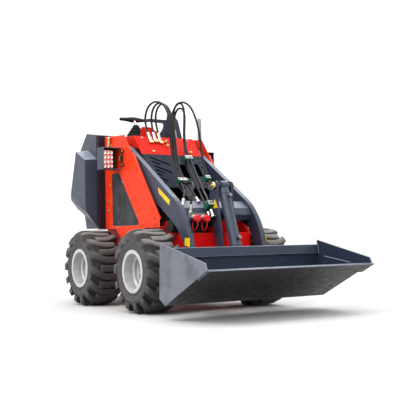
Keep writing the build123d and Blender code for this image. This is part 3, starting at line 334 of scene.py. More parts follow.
class Form:
    """A piece that grows face by face, each face with its material."""

    def __init__(self, name):
        self.name = name
        self.points, self.faces, self.paints, self.keys = [], [], [], []

    def add(self, points, faces, key):
        """Adds faces over new points, in a material."""
        start = len(self.points)
        if key not in self.keys:
            self.keys.append(key)
        self.points += [tuple(p) for p in points]
        self.faces += [tuple(start + i for i in face) for face in faces]
        self.paints += [self.keys.index(key)] * len(faces)

    def skin(self, rows, key, caps=True):
        """Skins closed rows of points, each row with as many points as the others."""
        count = len(rows[0])
        faces = []
        for i in range(len(rows) - 1):
            for j in range(count):
                a, b = i * count + j, i * count + (j + 1) % count
                faces.append((a, b, b + count, a + count))
        if caps:
            last = (len(rows) - 1) * count
            faces += [tuple(reversed(range(count))), tuple(range(last, last + count))]
        self.add([p for row in rows for p in row], faces, key)

    def repaint(self, faces, key):
        """Puts some of the faces that are there in another material."""
        if key not in self.keys:
            self.keys.append(key)
        for face in faces:
            self.paints[face] = self.keys.index(key)

    def lathe(self, place, way, profile, key, sides=24, caps=True):
        """Turns (along, radius) pairs about the line from a place along a direction."""
        way = Vector(way).normalized()
        side = way.orthogonal().normalized()
        other = way.cross(side)
        rows = [circle(Vector(place) + way * along, side, other, radius, sides) for along, radius in profile]
        self.skin(rows, key, caps=caps)

    def pipe(self, points, radius, key, sides=10, ripple=0.0):
        """A tube through points; ripple changes its radius from one ring to the next."""
        points = [Vector(p) for p in points]
        ways = [(b - a).normalized() for a, b in zip(points, points[1:])]
        ways = [ways[0]] + [(a + b).normalized() for a, b in zip(ways, ways[1:])] + [ways[-1]]
        side = ways[0].orthogonal().normalized()
        rows = []
        for index, (point, way) in enumerate(zip(points, ways)):
            side = (side - way * side.dot(way)).normalized()
            other = way.cross(side)
            rows.append(circle(point, side, other, radius * (1 + ripple * (-1) ** index), sides))
        self.skin(rows, key)

    def weld(self, start, end, size, key="charcoal"):
        """A rippled weld bead between two points."""
        count = max(4, int((end - start).length / WELD_STEP))
        self.pipe([start.lerp(end, i / count) for i in range(count + 1)], size, key, 6, 0.12)

    def prism(self, outline, place, across, up, depth, key, chamfer=0.0):
        """A plate from an outline in two directions, standing out by its depth, with soft front edges."""
        across, up = Vector(across).normalized(), Vector(up).normalized()
        out = across.cross(up)
        middle = Vector((sum(p[0] for p in outline), sum(p[1] for p in outline))) / len(outline)
        rows = []
        for height, inset in ((0.0, 0.0), (depth - chamfer, 0.0), (depth, chamfer)):
            row = []
            for p in outline:
                flat = Vector(p)
                flat -= (flat - middle).normalized() * inset
                row.append(Vector(place) + across * flat.x + up * flat.y + out * height)
            rows.append(row)
        self.skin(rows if chamfer else rows[:2], key)

    def block(self, place, across, up, wide, tall, depth, key, chamfer=0.0):
        """A rectangular plate about a place, with its half width and half height."""
        outline = [(-wide, -tall), (wide, -tall), (wide, tall), (-wide, tall)]
        self.prism(outline, place, across, up, depth, key, chamfer)

    def plate(self, corners, y, depth, key):
        """A thin plate with (X, Z) corners that stands out along Y by its depth."""
        self.skin([[at(x, side, z) for x, z in corners] for side in (y, y + depth)], key)

    def bolt(self, place, way, size, key="zinc"):
        """A hexagon bolt head on its washer; the size is the head's radius."""
        self.lathe(place, way, [(0, size * 1.3), (size * 0.2, size * 1.3)], key, 20)
        self.lathe(place, way, [(size * 0.2, size), (size * 0.85, size), (size, size * 0.86)], key, 6)

    def button(self, place, way, size, key):
        """A round-headed screw with a socket."""
        profile = [(0, size), (size * 0.25, size), (size * 0.5, size * 0.8), (size * 0.6, size * 0.5),
                   (size * 0.35, size * 0.42)]
        self.lathe(place, way, profile, key, 16)

    def done(self, body, slot, nodes=(), angle=35.0):
        """Makes the object; it rides on a body and stands for nodes; the slot is not used."""
        mesh = bpy.data.meshes.new(self.name)
        mesh.from_pydata(self.points, [], self.faces)
        for key in self.keys:
            mesh.materials.append(MATERIALS[key])
        mesh.polygons.foreach_set("material_index", self.paints)
        work = bmesh.new()
        work.from_mesh(mesh)
        bmesh.ops.recalc_face_normals(work, faces=work.faces)
        work.to_mesh(mesh)
        work.free()
        mesh.shade_smooth()
        mesh.set_sharp_from_angle(angle=math.radians(angle))
        piece = link(self.name, mesh)
        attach(piece, body)
        if nodes:
            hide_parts(*nodes)
        return piece


def powder_coat(name, colour, rough, dust, top=None, shaded_under=None, side=None, gloss=0.25,
                tops=(0.70, 0.98)):
    """Powder-coated steel: fine orange peel, mottling and dust, with painted light on faces that look up,
    painted shade on faces that look down and painted light on faces far to either side.
    """
    shade = Shade(name, colour, rough, gloss=gloss)
    # painted light: faces far to either side take a lighter colour
    if side:
        shade.paint_over(shade.aside(*side[0]), side[1])
    shade.blotch(toned(colour, 0.80), 0.42, 0.68, 0.4, 9.0, 5.0)
    # painted light: faces that look up take a lighter colour
    if top:
        shade.paint_over(shade.facing_up(*tops), top)
    # painted shade: faces that look down take a darker colour
    if shaded_under:
        shade.paint_over(shade.facing_up(-0.25, -0.7), shaded_under)
    dirt = shade.ramp(shade.noise(22.0, 6.0, 0.65), 0.5, 0.78, 0.0, dust)
    shade.paint_over(shade.math("MULTIPLY", dirt, shade.facing_up(0.35, 0.95)), DUST)
    mud = shade.ramp(shade.noise(34.0), 0.5, 0.72, 0.0, dust)
    shade.paint_over(shade.math("MULTIPLY", shade.low_down(0.05, 0.5), mud), MUD)
    shade.roughness(rough - 0.07, rough + 0.1, 30.0, 5.0)
    shade.bump(0.12, 0.0004, 900.0, 2.0)
    shade.bump(0.05, 0.001, 70.0, 3.0)
    return shade.done()


def tyre_rubber(name, colour, dust, top=None):
    """Tyre rubber with dried mud in the pores of its surface, and lighter faces that look up when given a top
    colour: painted light mixed with dust.
    """
    shade = Shade(name, colour, 0.8)
    shade.blotch(toned(colour, 1.5), 0.35, 0.7, 0.6, 7.0, 6.0, 0.7)
    shade.blotch((0.085, 0.074, 0.064), 0.52, 0.75, dust, 60.0, 8.0, 0.7)
    # painted light mixed with dust: faces that look up take a lighter colour
    if top:
        shade.paint_over(shade.facing_up(0.30, 0.95), top)
    shade.roughness(0.62, 0.9, 40.0)
    shade.bump(0.35, 0.0012, 260.0, 6.0, 0.7)
    shade.bump(0.2, 0.003, 30.0, 4.0)
    return shade.done()


def rim_silver():
    """Silver wheel paint with brake dust in its corners."""
    shade = Shade("rim_silver", SILVER, 0.38, 0.35)
    shade.blotch((0.25, 0.24, 0.23), 0.48, 0.72, 0.5, 26.0, 6.0, 0.65)
    shade.blotch((0.12, 0.11, 0.10), 0.6, 0.72, 0.3, 120.0, 4.0)
    shade.roughness(0.34, 0.6, 35.0)
    shade.bump(0.15, 0.0006, 500.0, 3.0)
    return shade.done()


def plain_metal(name, colour, rough):
    """Bare or plated metal with fine scratches."""
    shade = Shade(name, colour, rough, 1.0)
    shade.blotch(toned(colour, 0.55), 0.45, 0.75, 0.45, 45.0, 5.0)
    shade.roughness(rough * 0.8, rough * 1.35, 80.0, 5.0)
    shade.bump(0.2, 0.0004, 400.0, 3.0, stretch=(1.0, 1.0, 6.0))
    return shade.done()


def moulded(name, colour=BLACK, rough=0.55, grain=700.0):
    """Moulded plastic or rubber, black or another colour, with a fine grain."""
    shade = Shade(name, colour, rough, gloss=0.22)
    shade.blotch(toned(colour, 1.5, 0.003), 0.5, 0.8, 0.6, 30.0, 4.0)
    shade.roughness(rough - 0.1, rough + 0.12, 60.0)
    shade.bump(0.2, 0.0005, grain, 2.0)
    return shade.done()


def perforated_black():
    """The mesh sheets' black paint, dusty round the holes."""
    shade = Shade("mesh_black", (0.085, 0.087, 0.094), 0.5)
    shade.blotch((0.024, 0.025, 0.028), 0.4, 0.65, 0.85, 12.0, 5.0)
    shade.bump(0.1, 0.0003, 800.0, 2.0)
    return shade.done()


MATERIALS = {
    "red": powder_coat("red_paint", RED, 0.36, 0.08, gloss=0.12),
    # The highlight_and_wear finishes are lighter copies of the paints for rounded edges: partly wear, partly
    # painted highlight
    "red_highlight_and_wear": powder_coat("red_highlight_and_wear", (0.80, 0.085, 0.030), 0.32, 0.05),
    "console": powder_coat("console_red", CONSOLE_RED, 0.38, 0.05, gloss=0.08),
    "console_highlight_and_wear": powder_coat("console_highlight_and_wear", (0.66, 0.045, 0.020), 0.32, 0.05),
    "deep_red": powder_coat("deep_red_paint", DEEP_RED, 0.42, 0.08, gloss=0.10),
    "deep_red_highlight_and_wear": powder_coat("deep_red_highlight_and_wear", (0.46, 0.012, 0.010), 0.36, 0.1),
    "charcoal": powder_coat("charcoal_paint", CHARCOAL, 0.36, 0.1, CHARCOAL_TOP_LIGHT),
    # the hood's painted light reaches down onto its sloping faces too
    "hood": powder_coat("hood_paint", HOOD, 0.38, 0.1, CHARCOAL_TOP_LIGHT, tops=(0.25, 0.75)),
    "cover": powder_coat("cover_paint", COVER, 0.42, 0.05, gloss=0.12),
    "charcoal_highlight_and_wear": powder_coat("charcoal_highlight_and_wear", (0.085, 0.100, 0.140), 0.32, 0.1, CHARCOAL_TOP_LIGHT),
    # a dark reddish sheet: painted shade with a painted reflection of the red panel
    "hood_shade_strip": powder_coat("hood_shade_and_red_reflection", (0.024, 0.012, 0.019), 0.45, 0.1, gloss=0.04),
    "bucket": powder_coat("bucket_paint", BUCKET_GREY, 0.40, 0.1, None, BUCKET_UNDER_SHADE, BUCKET_SIDE_LIGHT),
    "edge": powder_coat("cutting_edge_paint", BUCKET_GREY, 0.40, 0.1, None, BUCKET_UNDER_SHADE),
    "bucket_highlight_and_wear": powder_coat("bucket_highlight_and_wear", (0.16, 0.18, 0.23), 0.34, 0.1),
    "steel": plain_metal("dark_steel", (0.16, 0.16, 0.17), 0.4),
    "lamp_face": moulded("lamp_face", (0.52, 0.13, 0.10), 0.35, 500.0),
    "tyre": tyre_rubber("tyre_rubber", TYRE, 0.5),
    "tyre_gap_shade": tyre_rubber("tyre_rubber_gap_shade", TYRE_GAP_SHADE, 0.12),
    "tyre_top_light_and_dust": tyre_rubber("tyre_rubber_top_light_and_dust", toned(TYRE, 0.75), 0.4, TYRE_TOP_LIGHT_AND_DUST),
    "rim": rim_silver(),
    "chrome": plain_metal("chrome", (0.78, 0.78, 0.80), 0.12),
    "zinc": plain_metal("zinc", (0.42, 0.41, 0.39), 0.34),
    "nickel": plain_metal("nickel", (0.50, 0.50, 0.50), 0.26),
    "yellow_zinc": plain_metal("yellow_zinc", (0.50, 0.39, 0.16), 0.32),
    "brass": plain_metal("brass", (0.60, 0.44, 0.20), 0.30),
    "white": moulded("white_plate", (0.42, 0.43, 0.45), 0.4, 400.0),
    "yellow": moulded("yellow_label", (0.62, 0.40, 0.008), 0.4, 900.0),
    "black": moulded("black_plastic"),
    "mesh": perforated_black(),
    "rubber": moulded("black_rubber", (0.009, 0.009, 0.009), 0.7, 300.0),
    "vinyl": moulded("black_vinyl", (0.016, 0.016, 0.017), 0.45, 260.0),
    "hose": moulded("hose_rubber", BLACK, 0.42, 900.0),
    "lamp": moulded("lamp_body", (0.035, 0.028, 0.028), 0.3, 500.0),
    "reflector": plain_metal("reflector", (0.80, 0.66, 0.64), 0.16),
    "diode": moulded("diode", (0.60, 0.58, 0.54), 0.2, 200.0),
    "engine": moulded("engine_black", (0.009, 0.009, 0.010), 0.5, 200.0),
    "red_cap": moulded("red_cap", (0.50, 0.008, 0.010), 0.4, 300.0),
    "clamp": moulded("clamp_green", (0.006, 0.085, 0.035), 0.45, 300.0),
}

# Width in metres of the rounded edges of each painted node, by the finish that the edges get; the lighter
# finishes are partly wear and partly painted highlight
EDGES = {
    "red_highlight_and_wear": {"side_panel_right": 0.0020, "side_panel_left": 0.0020},
    "console_highlight_and_wear": {"console": 0.0035},
    "deep_red_highlight_and_wear": {"lower_frame": 0.0018, "ram_brackets": 0.0015},
    "charcoal_highlight_and_wear": {
        "arm_right": 0.0022, "arm_left": 0.0022, "arm_crossbeams": 0.0020, "rear_hood": 0.0040,
        "louvre_cover": 0.0016, "operator_platform": 0.0025, "attach_plate": 0.0020,
        "lamp_guards": 0.0012, "pivot_plates": 0.0015, "lift_barrel_right": 0.0012,
        "lift_barrel_left": 0.0012, "tilt_barrel": 0.0012, "hose_carrier": 0.0012, "dash_tower": 0.0025,
    },
    "bucket_highlight_and_wear": {"bucket": 0.0022, "cutting_edge": 0.0016},
    "lamp": {"lamps": 0.0012},
    "rubber": {"arm_bumpers": 0.0020},
    "engine": {"engine_block": 0.0020},
}

# Material of each node whose name doesn't say it; the others are charcoal
NODE_MATERIALS = {
    "arm_bumpers": "rubber", "arm_clamps": "clamp", "bucket": "bucket",
    "console": "console", "console_fittings": "zinc", "control_lever": "black", "cutting_edge": "edge",
    # the inner walls take the near-black engine material as painted shade
    "drive_motors": "engine", "engine_block": "engine", "inner_walls": "engine", "lamps": "lamp",
    "lift_rod_left": "chrome", "lift_rod_right": "chrome", "lower_frame": "deep_red",
    "quick_couplers": "steel", "ram_brackets": "deep_red", "rear_hood": "hood",
    "side_panel_left": "red", "side_panel_right": "red", "side_post": "zinc", "thigh_pad": "vinyl",
    "tilt_rod": "chrome", "window_meshes": "mesh",
}


def dress_nodes():
    """Gives every CAD node its material."""
    for name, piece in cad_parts.items():
        start = name.split("_")[0]
        key = start if start in ("tyre", "rim", "hose") else "charcoal"
        piece.data.materials.clear()
        piece.data.materials.append(MATERIALS[NODE_MATERIALS.get(name, key)])


def make_camera():
    """The camera at the photograph's place, with its turn, rise and roll."""
    a, e, r = (math.radians(v) for v in (CAMERA_TURN, CAMERA_RISE, CAMERA_ROLL))
    back = Vector((math.sin(a) * math.cos(e), -math.cos(a) * math.cos(e), math.sin(e)))
    right = Vector((math.cos(a), math.sin(a), 0.0))
    up = back.cross(right)
    right, up = right * math.cos(r) + up * math.sin(r), up * math.cos(r) - right * math.sin(r)
    data = bpy.data.cameras.new("camera")
    data.lens = LENS_MM
    data.sensor_width = SENSOR_MM
    camera = link("camera", data)
    turn = Matrix((right, up, back)).transposed().to_4x4()
    camera.matrix_world = Matrix.Translation(CAMERA_PLACE) @ turn
    bpy.context.scene.camera = camera


def area_light(name, place, aim, size, power):
    """A soft square light at a place, aimed at a point."""
    data = bpy.data.lights.new(name, "AREA")
    data.shape = "SQUARE"
    data.size = size
    data.energy = power
    lamp = link(name, data)
    lamp.location = place
    way = Vector(aim) - Vector(place)
    lamp.rotation_euler = way.to_track_quat("-Z", "Y").to_euler()


def make_studio():
    """A pale floor, a surround that is brightest overhead, and three soft lights."""
    world = bpy.data.worlds.new("studio")
    bpy.context.scene.world = world
    world.use_nodes = True
    nodes, links = world.node_tree.nodes, world.node_tree.links
    place = nodes.new("ShaderNodeTexCoord").outputs["Generated"]
    split = nodes.new("ShaderNodeSeparateXYZ")
    links.new(place, split.inputs["Vector"])
    height = nodes.new("ShaderNodeMapRange")
    height.inputs["To Min"].default_value = SKY_LOW
    height.inputs["To Max"].default_value = SKY_HIGH
    links.new(split.outputs["Z"], height.inputs["Value"])
    links.new(height.outputs["Result"], nodes["Background"].inputs["Strength"])
    nodes["Background"].inputs["Color"].default_value = (1.0, 1.0, 1.0, 1.0)
    bpy.context.scene.view_settings.view_transform = "Standard"
    area_light("key", (1.2, -3.2, 3.8), (0.0, 0.0, 0.5), 1.4, 90.0)
    area_light("fill", (4.8, 1.2, 2.8), (0.2, 0.0, 0.4), 2.0, 20.0)
    area_light("back", (-3.4, 2.4, 3.2), (0.0, 0.0, 0.6), 2.0, 50.0)
    mesh = bpy.data.meshes.new("floor")
    far = 14.0
    mesh.from_pydata([(-far, -far, 0), (far, -far, 0), (far, far, 0), (-far, far, 0)], [], [(0, 1, 2, 3)])
    floor = link("floor", mesh)
    shade = Shade("floor_paper", FLOOR, 1.0, gloss=0.0)
    shade.blotch(toned(FLOOR, 0.985), 0.4, 0.7, 0.2, 3.0)
    mesh.materials.append(shade.done())


def soften_edges():
    """Rounds the CAD nodes' edges a little, in the edge finish of their paint, which is mostly a lighter
    copy: partly wear and partly painted highlight.
    """
    for edge, widths in EDGES.items():
        for name, width in widths.items():
            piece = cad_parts[name]
            piece.data.materials.append(MATERIALS[edge])
            weld = piece.modifiers.new("weld", "WELD")
            weld.merge_threshold = 0.00005
            bevel = piece.modifiers.new("bevel", "BEVEL")
            bevel.width = width
            bevel.segments = 2
            bevel.limit_method = "ANGLE"
            bevel.angle_limit = math.radians(32)
            # the rounded faces take the edge finish, mostly a lighter copy of the paint: partly wear, partly
            # painted highlight
            bevel.material = 1
            bevel.harden_normals = True


def lug_rows(index, side):
    """The rings of one tread bar about the wheel's axle, as (angle, radius, y) points."""
    start = 2 * math.pi / LUG_COUNT * (index + (0.0 if side > 0 else 0.5))
    rows = []
    for y, top, share in LUG_STATIONS:
        reach = max(0.0, (y - 0.018) / (TYRE_HALF - 0.018))
        middle = start - math.radians(LUG_SWEEP) * reach ** 1.35
        half = LUG_HALF * share
        foot = min(0.2080, top - 0.010) if y < 0.06 else max(0.172, 0.2080 - (y - 0.06) * 0.78)
        section = [
            (-half - 0.0045, foot), (-half - 0.0018, foot + 0.003), (-half, foot + 0.007),
            (-half + 0.0004, top - 0.0026), (-half + 0.0016, top - 0.0008), (-half + 0.0040, top),
            (0.0, top + 0.0003 if top > 0.226 else top),
        ]
        section += [(-u, r) for u, r in reversed(section[:-1])]
        rows.append([(middle + u / TYRE_R, min(r, TYRE_R), y * side) for u, r in section])
    return rows


def wheel_middle(part, end, hand):
    """The middle of a wheel's tyre or rim, and 1 on the left or -1 on the right."""
    low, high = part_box(f"{part}_{end}_{hand}")
    return (Vector(low) + Vector(high)) / 2, 1 if hand == "left" else -1


def make_tyre(end, hand):
    """One tyre: its casing with sidewall rings, and its rounded tread bars."""
    centre, sign = wheel_middle("tyre", end, hand)
    form = Form(f"detailed_tyre_{end}_{hand}")

    def placed(angle, radius, y):
        return centre + Vector((radius * math.sin(angle), y * sign, radius * math.cos(angle)))

    angles = [2 * math.pi * j / TYRE_SIDES for j in range(TYRE_SIDES)]
    profile = [(r, -y) for r, y in TYRE_SIDE] + [(r, y) for r, y in reversed(TYRE_SIDE)]
    rows = [[placed(a, r, y) for a in angles] for r, y in profile]
    walls = sum(1 for r, y in TYRE_SIDE if r < WALL_END_R)
    form.skin(rows[:walls], "tyre", caps=False)
    # the casing under the tread bars, between the sidewalls, in painted shade
    form.skin(rows[walls - 1:len(rows) - walls + 1], "tyre_gap_shade", caps=False)
    form.skin(rows[len(rows) - walls:] + [rows[0]], "tyre", caps=False)
    for index in range(LUG_COUNT):
        for side in (1, -1):
            first, rows = len(form.faces), lug_rows(index, side)
            form.skin([[placed(*p) for p in row] for row in rows], "tyre")
            count = len(rows[0])
            tops = [first + i * count + j for i in range(len(rows) - 1) for j in LUG_TOPS]
            # the bars' top faces in a copy of the rubber that is lighter where it looks up: painted light
            # mixed with dust
            form.repaint(tops, "tyre_top_light_and_dust")
    form.done(f"wheel_{end}_{hand}", "tyre", [f"tyre_{end}_{hand}"], 42.0)


def make_wheel_hardware(end, hand):
    """Wheel nuts with their studs, the grease cap and the valve of one wheel."""
    centre, sign = wheel_middle("rim", end, hand)
    out = Vector((0, sign, 0))
    form = Form(f"wheel_hardware_{end}_{hand}")
    for index in range(5):
        # the CAD's first nut lies towards +X, and a mirrored rim keeps it there
        a = math.radians(72 * index)
        base = centre + Vector((math.cos(a), 0, -math.sin(a))) * NUT_CIRCLE_R + out * 0.0122
        form.lathe(base, out, [(0, 0.0185), (0.002, 0.0185), (0.0032, 0.0172)], "yellow_zinc", 28)
        form.lathe(base, out, [(0.003, 0.0158), (0.0120, 0.0158), (0.0140, 0.0140)], "yellow_zinc", 6)
        form.lathe(base, out, [(0.0120, 0.0072), (0.0175, 0.0072), (0.0185, 0.0060)], "zinc", 16)
    cap = [(0.020, 0.030), (0.0225, 0.030), (0.0245, 0.028), (0.0255, 0.020), (0.0262, 0.009)]
    form.lathe(centre, out, cap, "zinc", 32)
    a = math.radians(36)
    spot = centre + Vector((math.cos(a), 0, math.sin(a))) * 0.0800
    stem = [(0, 0.006), (0.004, 0.0055), (0.012, 0.0042), (0.026, 0.0038)]
    form.lathe(spot + out * 0.010, out, stem, "rubber", 14)
    form.lathe(spot + out * 0.036, out, [(0, 0.0042), (0.009, 0.0042), (0.010, 0.0034)], "black", 12)
    form.done(f"wheel_{end}_{hand}", "rim")


def inside(outline, x, z):
    """Whether a place lies inside an outline of four corners or more."""
    hit = False
    for (x0, z0), (x1, z1) in zip(outline, outline[1:] + outline[:1]):
        if (z0 > z) != (z1 > z) and x < (x1 - x0) * (z - z0) / (z1 - z0) + x0:
            hit = not hit
    return hit


def make_meshes():
    """The perforated sheets behind the panels' windows, with their real holes."""
    low = PANEL_LOW_Z + 0.007
    outline = [(-0.279, low), (0.105, low), (-0.172, 0.813), (-0.283, 0.814)]
    pitch, hole, thick = 0.0116, 0.0054, 0.0012
    form = Form("perforated_sheets")
    step_z = pitch * math.sqrt(3) / 2
    for sign in (-1, 1):
        face = sign * (PANEL_Y - 0.0034)
        for row in range(int((0.82 - low) / step_z) + 1):
            z = low + row * step_z
            for column in range(36):
                x = -0.285 + pitch * (column + 0.5 * (row % 2))
                if not inside(outline, x, z):
                    continue
                angles = [math.radians(60 * j + 30) for j in range(6)]
                rings = []
                for depth, radius in ((0, pitch / math.sqrt(3)), (0, hole), (thick, hole)):
                    y = face - sign * depth
                    rings.append([at(x + radius * math.cos(a), y, z + radius * math.sin(a)) for a in angles])
                form.skin(rings, "mesh", caps=False)
        for (x0, z0), (x1, z1) in zip(outline, outline[1:] + outline[:1]):
            y = face - sign * 0.001
            form.pipe([at(x0, y, z0), at(x1, y, z1)], 0.0028, "mesh", 6)
    form.done("chassis", "mesh_black", ["window_meshes"])


def curve_mesh(name, curve, key):
    """The mesh that a curve makes, in one material."""
    line = link(name, curve)
    bpy.context.view_layer.update()
    mesh = bpy.data.meshes.new_from_object(line.evaluated_get(bpy.context.evaluated_depsgraph_get()))
    bpy.data.objects.remove(line)
    mesh.materials.clear()
    mesh.materials.append(MATERIALS[key])
    return mesh


def make_hoses():
    """The six hydraulic hoses as smooth tubes along their routes."""
    for name, points in ROUTES.items():
        curve = bpy.data.curves.new(name + "_route", "CURVE")
        curve.dimensions = "3D"
        curve.resolution_u = 7
        curve.bevel_depth = HOSE_R
        curve.bevel_resolution = 4
        curve.use_fill_caps = True
        spline = curve.splines.new("NURBS")
        spline.points.add(len(points) - 1)
        for spot, place in zip(spline.points, points):
            spot.co = (*at(*place), 1.0)
        spline.order_u = 3
        spline.use_endpoint_u = True
        mesh = curve_mesh(name + "_route", curve, "hose")
        mesh.name = name + "_tube"
        mesh.shade_smooth()
        tube = link(name + "_tube", mesh)
        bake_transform(tube)
        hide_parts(name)


def crimp(form, end, beside, length):
    """A crimped ferrule with its hexagon past a hose's end."""
    way = (end - beside).normalized()
    profile = [(-0.012, 0.0084), (-0.011, 0.0098), (0.002, 0.0100)]
    for start in (0.003, 0.008, 0.013, 0.018):
        groove = ((0, 0.0092), (0.0012, 0.0092), (0.002, 0.0100), (0.004, 0.0100))
        profile += [(start + along, radius) for along, radius in groove]
    profile += [(0.0245, 0.0094)]
    form.lathe(end, way, profile, "nickel", 20)
    nut = [(0.0245, 0.0112), (0.0255, 0.0120), (0.0345, 0.0120), (0.0355, 0.0112)]
    form.lathe(end, way, nut, "nickel", 6)
    form.lathe(end, way, [(0.0355, 0.0100), (length, 0.0100)], "nickel", 16)
    if length > 0.05:
        form.lathe(end, way, [(length - 0.010, 0.0128), (length - 0.001, 0.0128)], "brass", 6)


def make_fittings():
    """Ferrules and hexagons at both ends of the hoses, and the console's plugs, bolts and nuts."""
    form = Form("console_ferrules")
    for route, length in zip(ROUTES.values(), (0.062, 0.058, 0.062, 0.045, 0.045, 0.045)):
        crimp(form, at(*route[0]), at(*route[1]), length)
    for x, z in ((-0.068, 0.994), (-0.047, 0.967)):
        spot = at(x, -0.0065, z)
        form.lathe(spot, CONSOLE_OUT, [(-0.004, 0.009), (0.004, 0.009), (0.005, 0.0075)], "brass", 6)
        form.lathe(spot, CONSOLE_OUT, [(0.004, 0.005), (0.012, 0.005)], "brass", 12)
    for x, y, z in ((-0.014, -0.122, 0.925), (-0.018, 0.142, 0.930)):
        form.bolt(at(x - 0.001, y, z), CONSOLE_OUT, 0.0065, "brass")
    for y in (-0.16, 0.16):
        form.bolt(at(-0.092, y, 1.0125), CONSOLE_OUT, 0.006)
    for x, y, z in ((-0.0597, -0.108, 0.9936), (-0.0649, -0.072, 0.9996), (-0.0589, -0.039, 0.9926)):
        nut = [(-0.009, 0.0155), (-0.001, 0.0155), (0.0005, 0.0135)]
        form.lathe(at(x, y, z), CONSOLE_OUT, nut, "brass", 6)
    form.done("chassis", "fitting")
    form = Form("arm_ferrules")
    for index, length in ((1, 0.040), (2, 0.040), (3, 0.040), (6, 0.040), (4, 0.030), (5, 0.030)):
        route = ROUTES[f"hose_{index}"]
        crimp(form, at(*route[-1]), at(*route[-2]), length)
    form.done("arms", "fitting")


def make_engine_details():
    """The engine's front: ribbed crankcase, flywheel housing, cooling fins, filter and bolts."""
    form = Form("engine_details")
    face, way, shaft_z = 0.120, (1, 0, 0), 0.335
    ring = [(0, 0.128), (0.018, 0.128), (0.024, 0.120), (0.024, 0.096), (0.014, 0.090), (0.014, 0.052),
            (0.030, 0.048), (0.030, 0.020), (0.036, 0.016)]
    form.lathe(at(face, 0.0, shaft_z), way, ring, "engine", 48)
    for turn in range(8):
        a = math.radians(22.5 + 45 * turn)
        form.bolt(at(face + 0.024, 0.108 * math.cos(a), shaft_z + 0.108 * math.sin(a)), way, 0.0065)
    # columns: Y and Z of the middle, half width, half height, depth, chamfer
    ribs = [(0.012, 0.494 + row * 0.015, 0.118, 0.003, 0.026, 0.0012) for row in range(9)]
    ribs += [(y, 0.555, 0.007, 0.07, 0.018, 0.003) for y in (-0.126, 0.141)]
    ribs += [(y, 0.168, 0.005, 0.026, 0.012, 0.002) for y in (-0.12, -0.06, 0.06, 0.12)]
    for y, z, wide, tall, depth, chamfer in ribs:
        form.block(at(face, y, z), (0, 1, 0), (0, 0, 1), wide, tall, depth, "engine", chamfer)
    cartridge = [(-0.004, 0.030), (0.044, 0.031), (0.050, 0.026)]
    form.lathe(at(face + 0.002, -0.100, 0.222), (0.35, -0.1, -1), cartridge, "steel", 32)
    form.done("chassis", "engine_paint")


def make_clamp_tops():
    """White cover plates and bolts on the green hose clamps."""
    # columns: body, X, Z of the middle, slope, low Y, high Y, size along, size across the slope
    clamps = (
        ("arms", 0.221, 0.732, -35.3, -0.098, -0.036, 0.028, 0.026),
        ("arms", 0.231, 0.748, -39.0, 0.084, 0.116, 0.028, 0.030),
        ("arms", 0.506, 0.579, -50.0, -0.0883, -0.0543, 0.030, 0.050),
        ("chassis", 0.030, 0.883, -52.0, 0.064, 0.116, 0.028, 0.034),
    )
    for index, (body, x, z, slope, low, high, along, across) in enumerate(clamps):
        form = Form(f"clamp_top_{index}")
        a = math.radians(slope)
        way, out = Vector((math.cos(a), 0, math.sin(a))), Vector((-math.sin(a), 0, math.cos(a)))
        middle = at(x, (low + high) / 2, z) + out * (across / 2)
        half, wide = along / 2 - 0.001, (high - low) / 2 - 0.001
        if body == "chassis":
            form.block(middle - out * (across + 0.0006), way, (0, 1, 0), half + 0.0016, wide + 0.0016,
                       across + 0.0010, "clamp", 0.0015)
        form.block(middle, way, (0, 1, 0), half, wide, 0.0028, "white", 0.0008)
        for y in (-wide + 0.008, 0.0, wide - 0.008):
            form.bolt(middle + Vector((0, y, 0)) + out * 0.0026, out, 0.0052)
        form.done(body, "clamp")


def make_panel_hardware():
    """Bolts, screws and the lamps' latches on both side panels, and the brass valve on the right one."""
    form = Form("panel_hardware")
    # columns: size, finish, half width of the body there, places
    screws = (
        (0.0056, "zinc", PANEL_Y, ((-0.296, 0.737), (-0.126, 0.745), (0.060, 0.535), (-0.201, 0.4725))),
        (0.0060, "red", PANEL_Y, ((0.112, 0.478), (0.270, 0.480), (-0.345, 0.480))),
        (0.0060, "black", HOOD_Y, [(-0.383, z) for z in (0.510, 0.686, 0.860, 1.000)]),
        (0.0062, "red", PANEL_Y, ((0.262, 0.520), (0.140, 0.694), (0.030, 0.860), (-0.120, 0.985),
                                  (-0.345, 1.015))),
    )
    for sign in (-1, 1):
        out, along, up = (0, sign, 0), (-sign, 0, 0), (0, 0, 1)
        for x, z in ((-0.320, 0.633), (-0.321, 0.577)):
            form.bolt(at(x, sign * PANEL_Y, z), out, 0.0078, "brass")
        for size, key, y, places in screws:
            for x, z in places:
                form.button(at(x, sign * y, z), out, size, key)
        # hinge lugs and the latch that hold the lamp's guard
        for z in (0.846, 0.926):
            form.block(at(-0.123, sign * PANEL_Y, z), along, up, 0.018, 0.009, 0.006, "black", 0.0015)
            form.bolt(at(-0.117, sign * (PANEL_Y + 0.006), z), out, 0.005)
        latch = [(-0.010, -0.020), (0.012, -0.020), (0.012, 0.020), (-0.010, 0.020)]
        form.prism(latch, at(-0.128, sign * PANEL_Y, 0.886), along, up, 0.012, "black", 0.003)
        loop = ((0.010, 0.872), (0.017, 0.876), (0.017, 0.896), (0.010, 0.900))
        form.pipe([at(-0.128, sign * (PANEL_Y + y), z) for y, z in loop], 0.0022, "zinc", 8)
    # the valve near the top rear corner of the right panel
    base = at(-0.281, -PANEL_Y, 0.978)
    inlet = [(0, 0.013), (0.004, 0.013), (0.005, 0.011), (0.020, 0.011), (0.022, 0.009)]
    form.lathe(base, (0, -1, 0), inlet, "brass", 20)
    stem = [(0, 0.0085), (0.012, 0.0085), (0.013, 0.0110), (0.024, 0.0110), (0.025, 0.0085),
            (0.036, 0.0085), (0.038, 0.0120), (0.050, 0.0120), (0.053, 0.0080)]
    form.lathe(base + Vector((0, -0.013, 0)), (0, 0, 1), stem, "brass", 20)
    form.done("chassis", "fitting")


